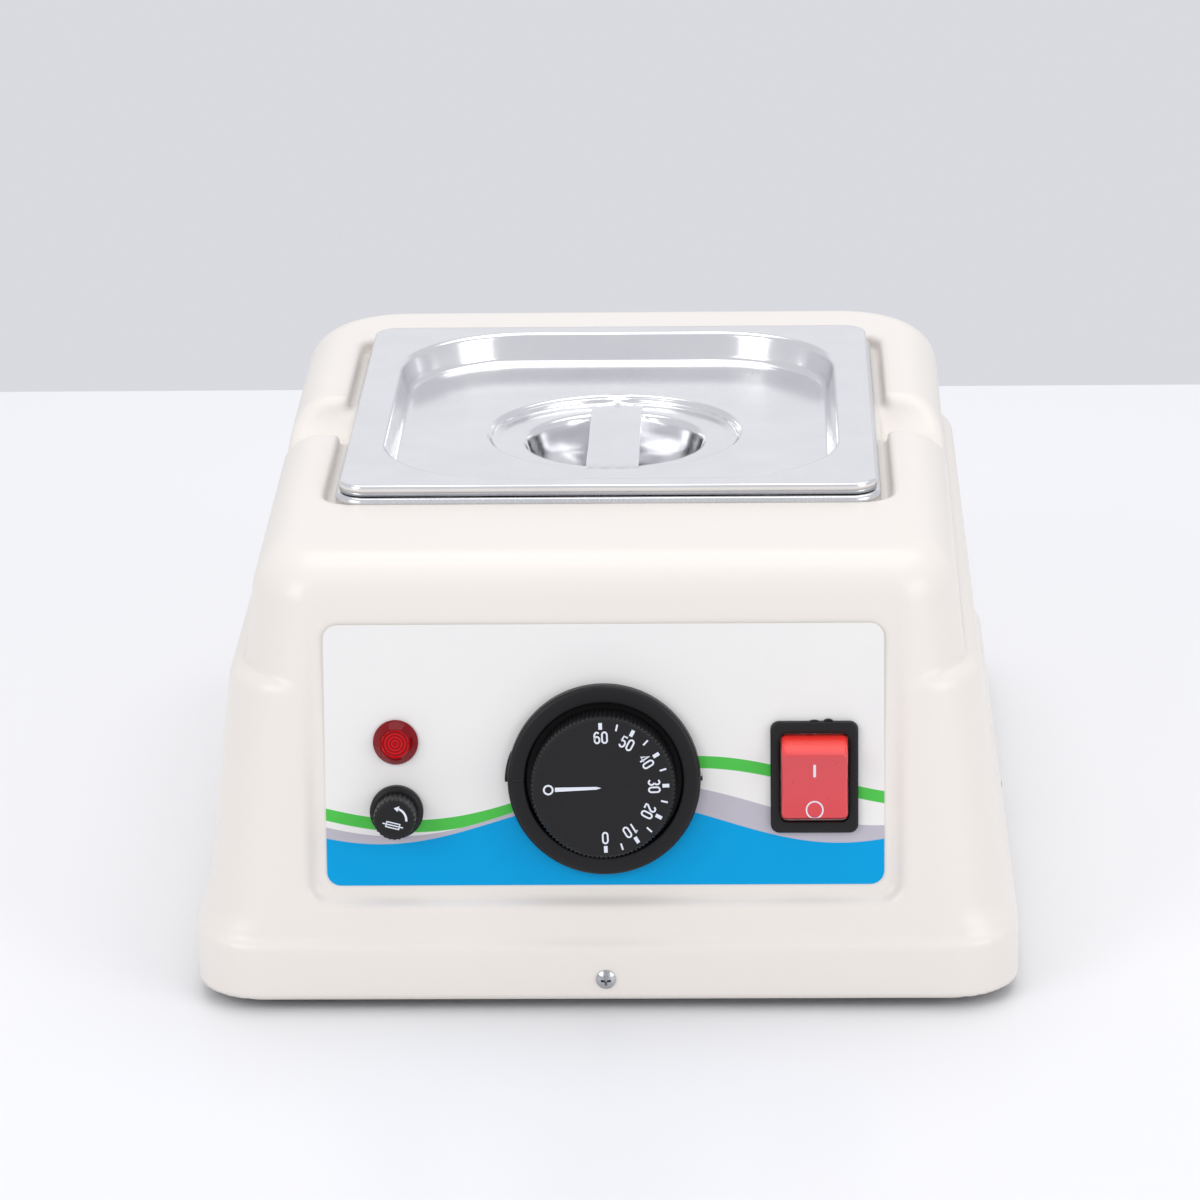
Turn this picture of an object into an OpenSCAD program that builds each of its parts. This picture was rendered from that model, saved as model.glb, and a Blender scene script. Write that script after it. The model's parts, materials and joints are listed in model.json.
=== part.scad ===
// Electric chocolate melting pot: a moulded casing with a heated tank, a lift-out food pan with its lid,
// and a control panel with a thermostat knob, a rocker switch, a pilot lamp and a fuse holder.
// Millimetres. +Z is up, the panel faces -Y, and the origin is on the table below the middle of the whole pot.

/* [Casing] */
// Width across the base band
case_w = 239; // [232:1:260]
// Depth over the base band
case_d = 314; // [308:1:340]
// Height from the casing's bottom edge to its deck
case_h = 126.5; // [124:0.5:140]
// Wall thickness
wall = 4; // [3:0.1:4.5]
// Height of the upright base band
band_h = 16.5; // [15:0.5:19]
// Rounding on top of the base band
band_r = 8; // [6:0.5:9]
// Hollow sweep from the band up into the wall
flare_r = 12; // [9:0.5:14]
// Lean of the side and rear walls, in degrees
side_lean = 6.2; // [5:0.1:7]
// Lean of the front wall, in degrees
front_lean = 10.6; // [10:0.1:11.5]
// Height of the ledge round the sides and the rear
step_h = 93.5; // [88:0.5:98]
// Width of that ledge
step_w = 4.7; // [3.5:0.1:5.5]
// Rounding of that ledge
step_r = 5; // [4:0.5:6]
// Rounding of the deck's edge
deck_r = 12; // [9:0.5:13]
// Plan radius of the front corners
front_corner_r = 20; // [17:0.5:24]
// Plan radius of the rear corners
rear_corner_r = 32; // [28:0.5:38]
// Distance of the pan's middle behind the middle of the casing
pan_back = 8.5; // [7:0.5:13]

/* [Pan seat] */
// Depth of the seat in the deck
seat_depth = 4; // [3.5:0.1:5]
// Gap between the pan and the seat's sides and rear
seat_gap = 3.3; // [2.5:0.1:4]
// Gap between the pan and the seat's front
seat_front_gap = 0.8; // [0.5:0.1:1.5]
// Radius of the finger notches in the side rails
notch_r = 22; // [20:0.5:25]
// Depth of the finger notches below the deck
notch_depth = 11; // [9:0.5:12]
// Distance of the finger notches behind the middle of the pan
notch_back = 2.7; // [0:0.1:5]

/* [Food pan] */
// Width of the pan over its rim, a one-sixth gastronorm size
pan_w = 162; // [160:0.5:163]
// Length of the pan over its rim
pan_l = 176; // [174:0.5:177]
// Height of the pan from its base to the bead round its mouth
pan_h = 100; // [90:1:101]
// Thickness of the sheet steel of the pan and the lid
sheet = 0.8; // [0.6:0.1:1]
// Width of the rim at the sides
rim_x = 11.5; // [10.5:0.1:12]
// Width of the rim at the front and rear
rim_y = 8.5; // [8.3:0.1:9]
// Radius of the mouth's corners
mouth_r = 39.5; // [36:0.5:42]
// Radius of the rim's corners
rim_r = 9; // [7:0.5:11]
// Height of the rim's turned-down edge
skirt_h = 5; // [4.7:0.1:5.5]
// Height of the bead round the mouth above the rim
bead_h = 2.7; // [2.4:0.1:3]
// How far each wall draws in from the mouth to the base
pan_draft = 9.5; // [8:0.5:11]
// Radius between the walls and the base
pan_base_r = 12; // [9:0.5:14]

/* [Lid] */
// Gap by which the lid's edge stays inside the rim's
lid_inset = 1.3; // [1:0.1:1.8]
// Height of the lid's turned-down edge
lid_edge_h = 2; // [1.7:0.1:2.2]
// Depth of the sunken field
field_depth = 9.5; // [8:0.5:10]
// Gap between the sunken field and the pan's mouth
field_gap = 0.7; // [0.5:0.1:1]
// Radius of the step round the bowl
ring_r = 37; // [35:0.5:39]
// Depth of that step
ring_depth = 2.7; // [2:0.1:3.2]
// Radius of the finger bowl
bowl_r = 28; // [26:0.5:29]
// Depth of the finger bowl below the step
bowl_depth = 14; // [12:0.5:15]
// Width of the strap handle
strap_w = 16; // [14:0.5:18]
// Thickness of the strap handle
strap_t = 1.2; // [1:0.1:1.5]

/* [Heated tank] */
// Gap between the pan and the tank round it
tank_gap = 1.6; // [1.4:0.1:1.7]
// Thickness of the tank's sheet
tank_t = 1; // [0.8:0.1:1.1]
// Gap below the pan
tank_floor_gap = 2.7; // [2:0.1:3]
// Thickness of the heater mat
heater_t = 1.5; // [1.2:0.1:2]
// Thickness of the insulation round the tank
wrap_t = 8; // [6:0.5:9]

/* [Base] */
// Height of the casing's bottom edge above the table
foot_gap = 3.5; // [3:0.1:4.5]
// Thickness of the base tray
tray_t = 1.2; // [1:0.1:1.5]
// Height of the base tray's rim
tray_h = 11; // [10:0.5:11.5]
// Diameter of a rubber foot
foot_d = 18; // [15:0.5:20]
// Distance of the feet from the casing's sides, to their middles
foot_inset = 24; // [22:0.5:28]
// Head diameter of the base screws
base_screw_head_d = 5.7; // [5:0.1:6.5]

/* [Panel] */
// Lean of the panel, in degrees
panel_lean = 8.35; // [8:0.05:9]
// Height of the panel's middle above the table
panel_z = 73.9; // [73:0.1:76]
// Distance of the panel's middle behind the casing's front
panel_back = 13.7; // [13.5:0.1:14.5]
// Width of the printed overlay
overlay_w = 160.5; // [158:0.5:164]
// Height of the printed overlay
overlay_h = 76.4; // [75:0.1:78]
// Thickness of the printed overlay
overlay_t = 0.4; // [0.3:0.05:0.6]
// Corner radius of the printed overlay
overlay_r = 4; // [3:0.5:6]
// Margin of the panel's pocket beside the overlay
pocket_margin = 4.5; // [3.5:0.1:5]

/* [Knob] */
// Height of the knob's axis above the panel's middle
knob_v = -6.7; // [-8:0.1:-5]
// Diameter of the knob
knob_d = 41.4; // [39:0.1:43]
// Height of the knob's face above the panel
knob_h = 14; // [13:0.1:16]
// Outer diameter of the bezel ring
bezel_d = 55.4; // [54:0.1:57]
// Inner diameter of the bezel ring
bezel_bore_d = 45; // [44:0.1:46]
// Height of the bezel ring
bezel_h = 4.9; // [4:0.1:5.5]
// Diameter of the thermostat's spindle
spindle_d = 6; // [5.8:0.1:6.2]

/* [Lamp] */
// Distance of the lamp and the fuse from the overlay's left end
lamp_side = 20.45; // [19.5:0.05:21.5]
// Height of the lamp above the panel's middle
lamp_v = 4.1; // [3:0.1:5]
// Diameter of the lamp's lens
lamp_d = 13; // [12:0.1:13.5]
// Height of the lamp's lens
lamp_h = 3.6; // [3:0.1:4.5]

/* [Fuse holder] */
// Height of the fuse holder's axis above the panel's middle
fuse_v = -16.2; // [-18:0.1:-16]
// Diameter of the holder's collar
fuse_collar_d = 15.4; // [15:0.1:16]
// Diameter of the fuse cap
fuse_cap_d = 12.2; // [11.6:0.1:12.6]
// Height of the fuse cap's face above the panel
fuse_cap_h = 12.5; // [11:0.1:13.5]

/* [Switch] */
// Distance of the switch from the overlay's right end
switch_side = 20; // [19.5:0.05:21.5]
// Height of the switch above the panel's middle
switch_v = -6.5; // [-8:0.1:-5]
// Width of the switch's bezel
switch_w = 25.2; // [25:0.1:26]
// Height of the switch's bezel
switch_h = 32.6; // [32.2:0.1:33.5]
// Width of the rocker
rocker_w = 18.9; // [18.5:0.1:19.1]
// Radius of the rocker about its pivot
rocker_r = 12.5; // [12.2:0.1:12.7]
// How far the rocker leans to each side, in degrees
rocker_tilt = 11; // [9:0.5:12]

/* [Power inlet] */
// Height of the inlet's middle above the table
inlet_z = 58; // [56:0.5:62]
// Width of the inlet's flange
inlet_w = 50; // [49:0.5:51]
// Height of the inlet's flange
inlet_h = 24; // [23.5:0.5:25]
// Distance between the inlet's screws
inlet_pitch = 40; // [39.5:0.5:40.5]

/* [Hidden] */
$fn = 48;

// One overrun for every cut, and the clearances that pieces share
over = 1;
fit = 0.3;
close_fit = 0.1;
run_fit = 0.05;
touch = 0.02;

// Shares: a small rounding's middle point, a corner's tightening at the deck, a screw's slot, an elbow, a thin lead
turn_share = 0.3;
tighten_share = 0.8;
slot_share = 0.62;
elbow_share = 1.15;
thin_wire_share = 0.8;

// Angles at which the band turns into the sweep, and arc steps of the rounded corners
band_turn = 36;
corner_steps = 10;
edge_r = 1.2;

// Levels of the casing, above its bottom edge
flare_z = band_h + band_r * sin(band_turn);
step_in_z = 1.5;
deck_z = foot_gap + case_h;
seat_z = deck_z - seat_depth;

// The panel and the knob set how far the knob stands in front of the casing, which sets the origin
knob_back = panel_back + knob_v * sin(panel_lean);
base_screw_head_h = 1.6;
knob_proud = knob_h * cos(panel_lean) + knob_d / 2 * sin(panel_lean) - knob_back;
overall_d = case_d + knob_proud + base_screw_head_h;
front_y = knob_proud - overall_d / 2;
rear_y = front_y + case_d;
pan_y = front_y + case_d / 2 + pan_back;
panel_y = front_y + panel_back;

// The food pan: levels of its rim and base, and half sizes of its mouth
rim_z = seat_z + skirt_h;
bead_z = rim_z + bead_h;
pan_base_z = bead_z - pan_h;
mouth_x = pan_w / 2 - rim_x;
mouth_y = pan_l / 2 - rim_y;
bead_w = 4;
rim_round = 1.5;

// The lid: its plate lies on the bead
plate_z = bead_z + sheet;
lid_x = pan_w / 2 - lid_inset;
lid_y = pan_l / 2 - lid_inset;
lid_r = rim_r - lid_inset;
field_x = mouth_x - field_gap - sheet;
field_y = mouth_y - field_gap - sheet;
field_r = mouth_r - field_gap - sheet;
field_slope = 2.5;
field_round = 1.5;
field_z = plate_z - field_depth;
ring_z = field_z - ring_depth;
strap_end_gap = 2;
strap_l = 2 * (ring_r - strap_end_gap);

// The heated tank round the pan
tank_top_x = mouth_x + sheet + tank_gap;
tank_top_y = mouth_y + sheet + tank_gap;
tank_r = mouth_r + sheet + tank_gap;
tank_floor_z = pan_base_z - tank_floor_gap;
tank_base_z = tank_floor_z - tank_t;
tank_draft = pan_draft;
tank_base_r = 10;
tank_rim_x = pan_w / 2 - 2 * sheet - fit;
tank_rim_y = pan_l / 2 - 2 * sheet - fit;
tank_rim_r = 7;
tank_lean = atan(tank_draft / (seat_z - tank_base_z));
tank_screw_x = (tank_top_x + tank_t + tank_rim_x) / 2;
tank_screw_y = 38;
tank_screw_d = 3;
tank_screw_head_d = 5;
tank_screw_head_h = 1.4;
seat_x = pan_w / 2 + seat_gap;
seat_front_y = pan_y - pan_l / 2 - seat_front_gap;
seat_rear_y = pan_y + pan_l / 2 + seat_gap;
seat_r = rim_r + seat_front_gap;

// The insulation and the heater below the tank
heater_inset = 8;
heater_z = tank_base_z - heater_t;
tray_z = foot_gap + over;
tray_floor_z = tray_z + tray_t;
block_inset = 6;

// Screws and nuts of the small sizes
m3_nut_w = 5.5;
m3_nut_h = 2.4;
m4_d = 4;
m4_nut_w = 7;
m4_nut_h = 3.2;
base_screw_d = 3.5;
base_screw_l = 9;
base_screw_up = 6.5;
base_screw_z = foot_gap + base_screw_up;
foot_screw_d = 4;
foot_head_h = 2.6;
foot_taper = 2;

// The thermostat behind the panel
thermo_w = 36;
thermo_h = 32;
thermo_t = 22;
thermo_r = 3;
bracket_w = 40;
bracket_h = 34;
bracket_t = 1.2;
bracket_r = 2;
thermo_pitch = 28;
thermo_screw_head_d = 6.6;
thermo_screw_head_h = 2;
bush_d = 10;
bezel_floor_t = 1.2;
bezel_lip = 1.4;
knob_lift = 0.6;
knob_wall = 2.6;
knob_face_t = 2.4;
knob_boss_d = 11;
knob_flutes = 90;
knob_flute_d = 0.9;
knob_lip = 0.8;
bulb_d = 6;
bulb_l = 64;
clip_w = 7;
clip_side = 3;
clip_sheet = 1.2;
bulb_up = 30;
bulb_z = tank_base_z + bulb_up;
capillary_d = 2;

// The lamp, the fuse holder and the switch behind the panel
lamp_u = lamp_side - overlay_w / 2;
lamp_middle_r = 4;
lens_shares = [[1, 0.7], [0.5, 0.85], [0, 0.9]];
lamp_barrel_d = 9.6;
lamp_barrel_l = 20;
lamp_nut_d = 14;
lamp_nut_h = 3;
fuse_barrel_d = 12.4;
fuse_barrel_l = 26;
fuse_bore_d = 8;
bayonet_step = 1.2;
bayonet_d = fuse_bore_d + 2 * bayonet_step;
fuse_nut_d = 17;
fuse_nut_h = 4;
fuse_collar_h = 3;
fuse_side_share = 0.6;
fuse_grip = 5;
fuse_end_l = 5;
fuse_step = 0.2;
cap_ribs = 24;
cap_rib_d = 0.8;
fuse_d = 5.2;
fuse_l = 20;
switch_u = overlay_w / 2 - switch_side;
switch_flange_t = 2;
switch_r = 2.5;
nib_w = 2;
nib_h = 1;
nib_pitch = 4;
switch_body_w = 22;
switch_body_h = 28.6;
switch_body_l = 24;
switch_cavity_l = 11;
pivot_drop = 3;
pivot_d = 3;
rocker_flat = 5;
ridge_turn = 40;
face_dish = 1.6;
tab_w = 4.8;
tab_t = 0.8;
tab_l = 8;

// The power inlet
inlet_flange_t = 2.6;
inlet_r = 4;
inlet_body_w = 27;
inlet_body_h = 19.6;
inlet_body_l = 17;
inlet_mouth_w = 24.4;
inlet_mouth_h = 16.4;
inlet_mouth_l = 15.5;
inlet_pin_t = 2;
inlet_pin_h = 4;
inlet_pin_side = 7;
inlet_pin_out = 1.5;
inlet_pin_off = 2;
inlet_pin_places = [
    [-inlet_pin_side, -inlet_pin_off], [inlet_pin_side, -inlet_pin_off], [0, inlet_pin_off]];
inlet_screw_d = 3;
inlet_screw_head_d = 5.4;
inlet_screw_head_h = 1.6;
inlet_margin = 3;
inlet_pocket = 2.5;
wire_d = 2.4;
wire_turn = 8;
wire_margin = 21.5;
wire_side = case_w / 2 - wire_margin;
wire_rear = 98;
wire_low = 14;
stud_x = -42;
stud_margin = 30.5;
stud_y = rear_y - stud_margin;
stud_h = 14;
lug_t = 1;
cutout_w = 18;
cutout_h = 7;
cutout_tab = 5;
lead_slot = 4;
lead_side = 9;
lead_drop = 9.4;

// Outlines and lofts

// Points of one corner's arc, about a centre
function corner(cx, cy, r, start) =
    [for (k = [0:corner_steps]) let (a = start + 90 * k / corner_steps) [cx + r * cos(a), cy + r * sin(a)]];

// A rounded outline, counter-clockwise from above, with its own front and rear corner radii
function outline(x, front, rear, front_r, rear_r, z) =
    [for (p = concat(
        corner(x - rear_r, rear - rear_r, rear_r, 0),
        corner(-x + rear_r, rear - rear_r, rear_r, 90),
        corner(-x + front_r, front + front_r, front_r, 180),
        corner(x - front_r, front + front_r, front_r, 270))) [p.x, p.y, z]];

// The same about the middle of the pan, with half sizes and one radius
function pan_ring(x, y, r, z) = outline(x, pan_y - y, pan_y + y, r, r, z);

// A closed skin through a list of outlines, each with as many points, capped at both ends
module loft(rings) {
    n = len(rings[0]);
    m = len(rings);
    middle = function (ring) [0, (ring[0].y + ring[2 * (corner_steps + 1)].y) / 2, ring[0].z];
    points = concat([for (ring = rings) each ring], [middle(rings[0])], [middle(rings[m - 1])]);
    sides = [for (i = [0:m - 2]) for (j = [0:n - 1]) let (
        a = i * n + j,
        b = i * n + (j + 1) % n,
        c = b + n,
        d = a + n) each [[a, d, c], [a, c, b]]];
    first_cap = [for (j = [0:n - 1]) [m * n, j, (j + 1) % n]];
    last_cap = [for (j = [0:n - 1]) [m * n + 1, (m - 1) * n + (j + 1) % n, (m - 1) * n + j]];
    polyhedron(points, concat(sides, first_cap, last_cap));
}

// The casing's wall as pairs of height and inset from the band: band, sweep, ledge, wall and rounded deck edge
function band_arc() =
    [for (k = [0:3]) let (a = band_turn * k / 3) [band_h + band_r * sin(a), band_r * (1 - cos(a))]];
function flare_arc(lean) =
    [for (k = [1:3]) let (a = band_turn + (lean - band_turn) * k / 3)
        [flare_z + flare_r * (sin(band_turn) - sin(a)),
         band_r * (1 - cos(band_turn)) + flare_r * (cos(a) - cos(band_turn))]];
function foot_of(lean) = let (arc = flare_arc(lean)) arc[len(arc) - 1];
function ledge_arc(lean) =
    let (foot = foot_of(lean), z0 = step_h - step_r, in0 = foot[1] + (z0 - foot[0]) * tan(lean))
    concat(
        [for (k = [0:4]) let (a = 90 * k / 4) [z0 + step_r * sin(a), in0 + step_w * (1 - cos(a))]],
        [[step_h + step_in_z, in0 + step_w + step_in_z * 2 * tan(lean)]]);
function wall_top(lean, ledge) =
    let (from = ledge ? ledge_arc(lean)[5] : foot_of(lean), z1 = case_h - deck_r * (1 - sin(lean)))
    [z1, from[1] + (z1 - from[0]) * tan(lean)];
function deck_arc(lean, ledge) =
    let (top = wall_top(lean, ledge))
    [for (k = [0:6]) let (a = lean + (90 - lean) * k / 6)
        [case_h - deck_r * (1 - sin(a)), top[1] + deck_r * (cos(lean) - cos(a))]];
function wall_line(lean, ledge) =
    concat([[0, edge_r], [edge_r, 0]], band_arc(), flare_arc(lean), ledge ? ledge_arc(lean) : [],
        deck_arc(lean, ledge));
side_line = wall_line(side_lean, true);
front_line = wall_line(front_lean, false);
// How far the inlet's flat seat lies in front of the casing's rear edge
inlet_plane = lookup(inlet_z + inlet_h / 2 - foot_gap, side_line) + inlet_pocket;

// How much a corner tightens where the deck's edge rounds over
function tighten(z) = let (rise = max(0, z - case_h + deck_r))
    tighten_share * (deck_r - sqrt(deck_r * deck_r - rise * rise));

// The casing's outline at a height, drawn in by a margin
function case_ring(z, z_read, margin) =
    let (side = lookup(z_read, side_line) + margin,
         front = lookup(z_read, front_line) + margin,
         front_r = max(front_corner_r - margin - tighten(z_read), wall),
         rear_r = max(rear_corner_r - margin - tighten(z_read), wall))
    outline(case_w / 2 - side, front_y + front, rear_y - side, front_r, rear_r, foot_gap + z);

// Small tools for placing

module on_panel(u, v) {
    translate([0, panel_y, panel_z]) rotate([90 - panel_lean, 0, 0]) translate([u, v, 0]) children();
}

module at_four(x, y) {
    for (sx = [-1, 1]) for (sy = [-1, 1]) translate([sx * x, sy * y, 0]) children();
}

module on_tank_front(z) {
    half_y = tank_top_y + tank_t - (seat_z - z) * tan(tank_lean);
    translate([0, pan_y - half_y, z]) rotate([tank_lean, 0, 0]) children();
}

// A plate with rounded corners, lying on z = 0
module plate(w, h, r, t) {
    linear_extrude(t) hull() for (sx = [-1, 1]) for (sy = [-1, 1])
        translate([sx * (w / 2 - r), sy * (h / 2 - r)]) circle(r, $fn = 32);
}

// A pan-head screw with a cross slot, its head's underside on z = 0 and its shank going down
module screw(d, l, head_d, head_h) {
    slot_w = head_d / 6;
    slot_l = head_d * slot_share;
    difference() {
        union() {
            cylinder(h = head_h, d = head_d);
            translate([0, 0, -l]) cylinder(h = l, d = d);
        }
        for (a = [0, 90]) rotate(a)
            translate([-slot_l / 2, -slot_w / 2, head_h / 2]) cube([slot_l, slot_w, head_h]);
    }
}

// A hexagon nut that stands on z = 0
module nut(width, bore, h) {
    difference() {
        cylinder(h = h, d = width / cos(30), $fn = 6);
        translate([0, 0, -over]) cylinder(h = h + 2 * over, d = bore);
    }
}

// A round lead through a list of points
module lead(points, d) {
    for (i = [0:len(points) - 2]) let (a = points[i], b = points[i + 1], run = b - a, l = norm(run))
        translate(a) rotate([0, acos(run.z / l), atan2(run.y, run.x)]) cylinder(h = l, d = d, $fn = 16);
    for (i = [1:len(points) - 2]) translate(points[i]) sphere(d = d * elbow_share, $fn = 16);
}

// The casing

module case_outside() {
    loft([for (p = side_line) case_ring(p[0], p[0], 0)]);
}

module case_inside() {
    lift = wall;
    shares = [0.06, 0.12, 0.16, 0.2, 0.26, 0.5, 0.7, 0.76, 0.84, 0.9, 0.95, 0.975];
    top = case_h - lift;
    loft(concat(
        [case_ring(-over, edge_r, wall)],
        [for (s = shares) case_ring(top * s, top * s + lift, wall)],
        [case_ring(top, case_h, wall)]));
}

// What is sunk into the casing from outside, grown by a margin: panel pocket, pan seat, notches, inlet pocket
module sunk(margin) {
    pocket_w = overlay_w + 2 * pocket_margin + 2 * margin;
    pocket_top = case_h;
    pocket_low = overlay_h / 2 + pocket_margin + margin;
    on_panel(0, 0) translate([0, (pocket_top - pocket_low) / 2, -margin])
        plate(pocket_w, pocket_top + pocket_low, overlay_r + margin, case_d / 4);
    translate([0, 0, seat_z - margin]) linear_extrude(seat_depth + margin + over) polygon([
        for (p = outline(seat_x + margin, seat_front_y - margin, seat_rear_y + margin,
            seat_r + margin, seat_r + margin, 0)) [p.x, p.y]]);
    for (side = [-1, 1]) translate([side * (seat_x - seat_gap / 2 - margin), pan_y + notch_back,
        deck_z - notch_depth + notch_r]) rotate([0, side * 90, 0]) cylinder(h = case_w, r = notch_r + margin);
    translate([0, rear_y - inlet_plane - margin, inlet_z]) rotate([-90, 0, 0])
        plate(inlet_w + 2 * inlet_margin + 2 * margin, inlet_h + 2 * inlet_margin + 2 * margin,
            inlet_margin + margin, case_d / 8);
}

module case_holes() {
    // tank
    translate([0, 0, seat_z - 2 * wall]) linear_extrude(3 * wall) polygon([
        for (p = pan_ring(tank_top_x + tank_t + fit, tank_top_y + tank_t + fit, tank_r + tank_t + fit, 0))
            [p.x, p.y]]);
    translate([0, pan_y, seat_z - 2 * wall]) at_four(tank_screw_x, tank_screw_y)
        cylinder(h = 3 * wall, d = tank_screw_d + 2 * close_fit);
    // panel
    on_panel(0, knob_v) translate([0, 0, -2 * wall]) cylinder(h = 3 * wall, d = bush_d + 2 * close_fit);
    on_panel(0, knob_v) for (sx = [-1, 1]) translate([sx * thermo_pitch / 2, 0, -2 * wall])
        cylinder(h = 3 * wall, d = m4_d + 2 * close_fit);
    on_panel(lamp_u, lamp_v) translate([0, 0, -2 * wall])
        cylinder(h = 3 * wall, d = lamp_barrel_d + 2 * close_fit);
    on_panel(lamp_u, fuse_v) translate([0, 0, -2 * wall])
        cylinder(h = 3 * wall, d = fuse_barrel_d + 2 * close_fit);
    on_panel(switch_u, switch_v) translate([0, 0, -2 * wall])
        linear_extrude(3 * wall)
            square([switch_body_w + 2 * close_fit, switch_body_h + 2 * close_fit], center = true);
    // inlet
    translate([0, rear_y - inlet_plane, inlet_z]) rotate([-90, 0, 0]) translate([0, 0, -2 * wall]) {
        linear_extrude(3 * wall)
            square([inlet_body_w + 2 * close_fit, inlet_body_h + 2 * close_fit], center = true);
        for (sx = [-1, 1]) translate([sx * inlet_pitch / 2, 0, 0])
            cylinder(h = 3 * wall, d = inlet_screw_d + 2 * close_fit);
    }
    // base screws
    base_screw_places() translate([0, 0, -2 * wall]) cylinder(h = 4 * wall, d = base_screw_d + 2 * close_fit);
}

module casing() {
    color("linen") difference() {
        case_outside();
        sunk(0);
        difference() {
            case_inside();
            sunk(wall);
        }
        case_holes();
    }
}

// The base

// Local z points out of the casing at each base screw, from its outer face
module base_screw_places() {
    translate([0, front_y, base_screw_z]) rotate([90, 0, 0]) children();
    translate([0, rear_y, base_screw_z]) rotate([-90, 0, 0]) children();
    for (side = [-1, 1]) translate([side * case_w / 2, (front_y + rear_y) / 2, base_screw_z])
        rotate([0, side * 90, 0]) children();
}

module foot_places() {
    translate([0, (front_y + rear_y) / 2, 0]) at_four(case_w / 2 - foot_inset, case_d / 2 - foot_inset) children();
}

module tray_shape(margin, t) {
    gap = wall + fit + margin;
    linear_extrude(t) polygon([for (p = outline(case_w / 2 - gap, front_y + gap, rear_y - gap,
        front_corner_r - gap, rear_corner_r - gap, 0)) [p.x, p.y]]);
}

module base_tray() {
    color("silver") difference() {
        translate([0, 0, tray_z]) tray_shape(0, tray_h);
        translate([0, 0, tray_floor_z]) tray_shape(tray_t, tray_h);
        foot_places() translate([0, 0, tray_z - over])
            cylinder(h = tray_t + 2 * over, d = foot_screw_d + 2 * close_fit);
        base_screw_places() translate([0, 0, -3 * wall])
            cylinder(h = 4 * wall, d = base_screw_d + 2 * close_fit);
        translate([stud_x, stud_y, tray_z - over])
            cylinder(h = tray_t + 2 * over, d = m4_d + 2 * close_fit);
    }
}

module base_screws() {
    color("gainsboro") base_screw_places()
        screw(base_screw_d, base_screw_l, base_screw_head_d, base_screw_head_h);
}

module rubber_feet() {
    foot_h = tray_z;
    color("dimgray") foot_places() difference() {
        cylinder(h = foot_h, d1 = foot_d - foot_taper, d2 = foot_d, $fn = 40);
        translate([0, 0, -over]) cylinder(h = foot_h + 2 * over, d = foot_screw_d + 2 * close_fit);
        translate([0, 0, -over]) cylinder(h = over + foot_head_h, d = 2 * foot_screw_d + 2 * close_fit);
    }
}

module foot_screws() {
    color("gainsboro") foot_places() translate([0, 0, foot_head_h]) mirror([0, 0, 1])
        screw(foot_screw_d, tray_floor_z + m4_nut_h + over - foot_head_h, 2 * foot_screw_d, foot_head_h / 2);
}

module foot_nuts() {
    color("silver") foot_places() translate([0, 0, tray_floor_z]) nut(m4_nut_w, foot_screw_d + 2 * touch, m4_nut_h);
}

// The tank, its heater and its insulation

function tank_half_x(z) = tank_top_x - (seat_z - z) * tan(tank_lean);
function tank_half_y(z) = tank_top_y - (seat_z - z) * tan(tank_lean);
function tank_radius(z) = tank_r - (seat_z - z) * tan(tank_lean);
function tank_ring(z, margin, r_less) =
    pan_ring(tank_half_x(z) + margin, tank_half_y(z) + margin, tank_radius(z) + margin - r_less, z);

module heated_tank() {
    outside = [for (k = [0:4]) let (a = 90 * k / 4, z = tank_base_z + tank_base_r * (1 - cos(a)))
        tank_ring(z, tank_t - tank_base_r * (1 - sin(a)), 0)];
    inside = [for (k = [4:-1:0]) let (a = 90 * k / 4, r = tank_base_r - tank_t, z = tank_floor_z + r * (1 - cos(a)))
        tank_ring(z, -r * (1 - sin(a)), 0)];
    color("lightgray") difference() {
        loft(concat(
            outside,
            [tank_ring(seat_z, tank_t, 0),
             pan_ring(tank_rim_x, tank_rim_y, tank_rim_r, seat_z),
             pan_ring(tank_rim_x, tank_rim_y, tank_rim_r, seat_z + tank_t),
             tank_ring(seat_z + tank_t, 0, 0)],
            inside));
        translate([0, pan_y, seat_z - over]) at_four(tank_screw_x, tank_screw_y)
            cylinder(h = tank_t + 2 * over, d = tank_screw_d + 2 * close_fit);
    }
}

module tank_screws() {
    color("gainsboro") translate([0, pan_y, seat_z + tank_t]) at_four(tank_screw_x, tank_screw_y)
        screw(tank_screw_d, tank_t + wall + m3_nut_h + over, tank_screw_head_d, tank_screw_head_h);
}

module tank_nuts() {
    color("silver") translate([0, pan_y, seat_z - wall - m3_nut_h]) at_four(tank_screw_x, tank_screw_y)
        rotate(30) nut(m3_nut_w, tank_screw_d + 2 * touch, m3_nut_h);
}

module heater_mat() {
    x = tank_half_x(tank_base_z) - tank_base_r - heater_inset / 2;
    y = tank_half_y(tank_base_z) - tank_base_r - heater_inset / 2;
    color("orangered") translate([0, pan_y, heater_z]) plate(2 * x, 2 * y, heater_inset, heater_t);
}

module insulation_block() {
    x = tank_half_x(tank_base_z) - tank_base_r;
    y = tank_half_y(tank_base_z) - tank_base_r;
    cutout_d = cutout_w + 4 * fit;
    color("khaki") difference() {
        translate([0, pan_y, tray_floor_z]) plate(2 * x, 2 * y, block_inset, heater_z - tray_floor_z);
        translate([0, pan_y, heater_z - cutout_h - cutout_tab]) cylinder(h = heater_z, d = cutout_d);
        for (side = [-1, 1]) translate([side * lead_side - lead_slot / 2, pan_y - y - over,
            heater_z - lead_drop - lead_slot / 2]) cube([lead_slot, y + over + lead_slot / 2, heater_z]);
    }
}

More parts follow.
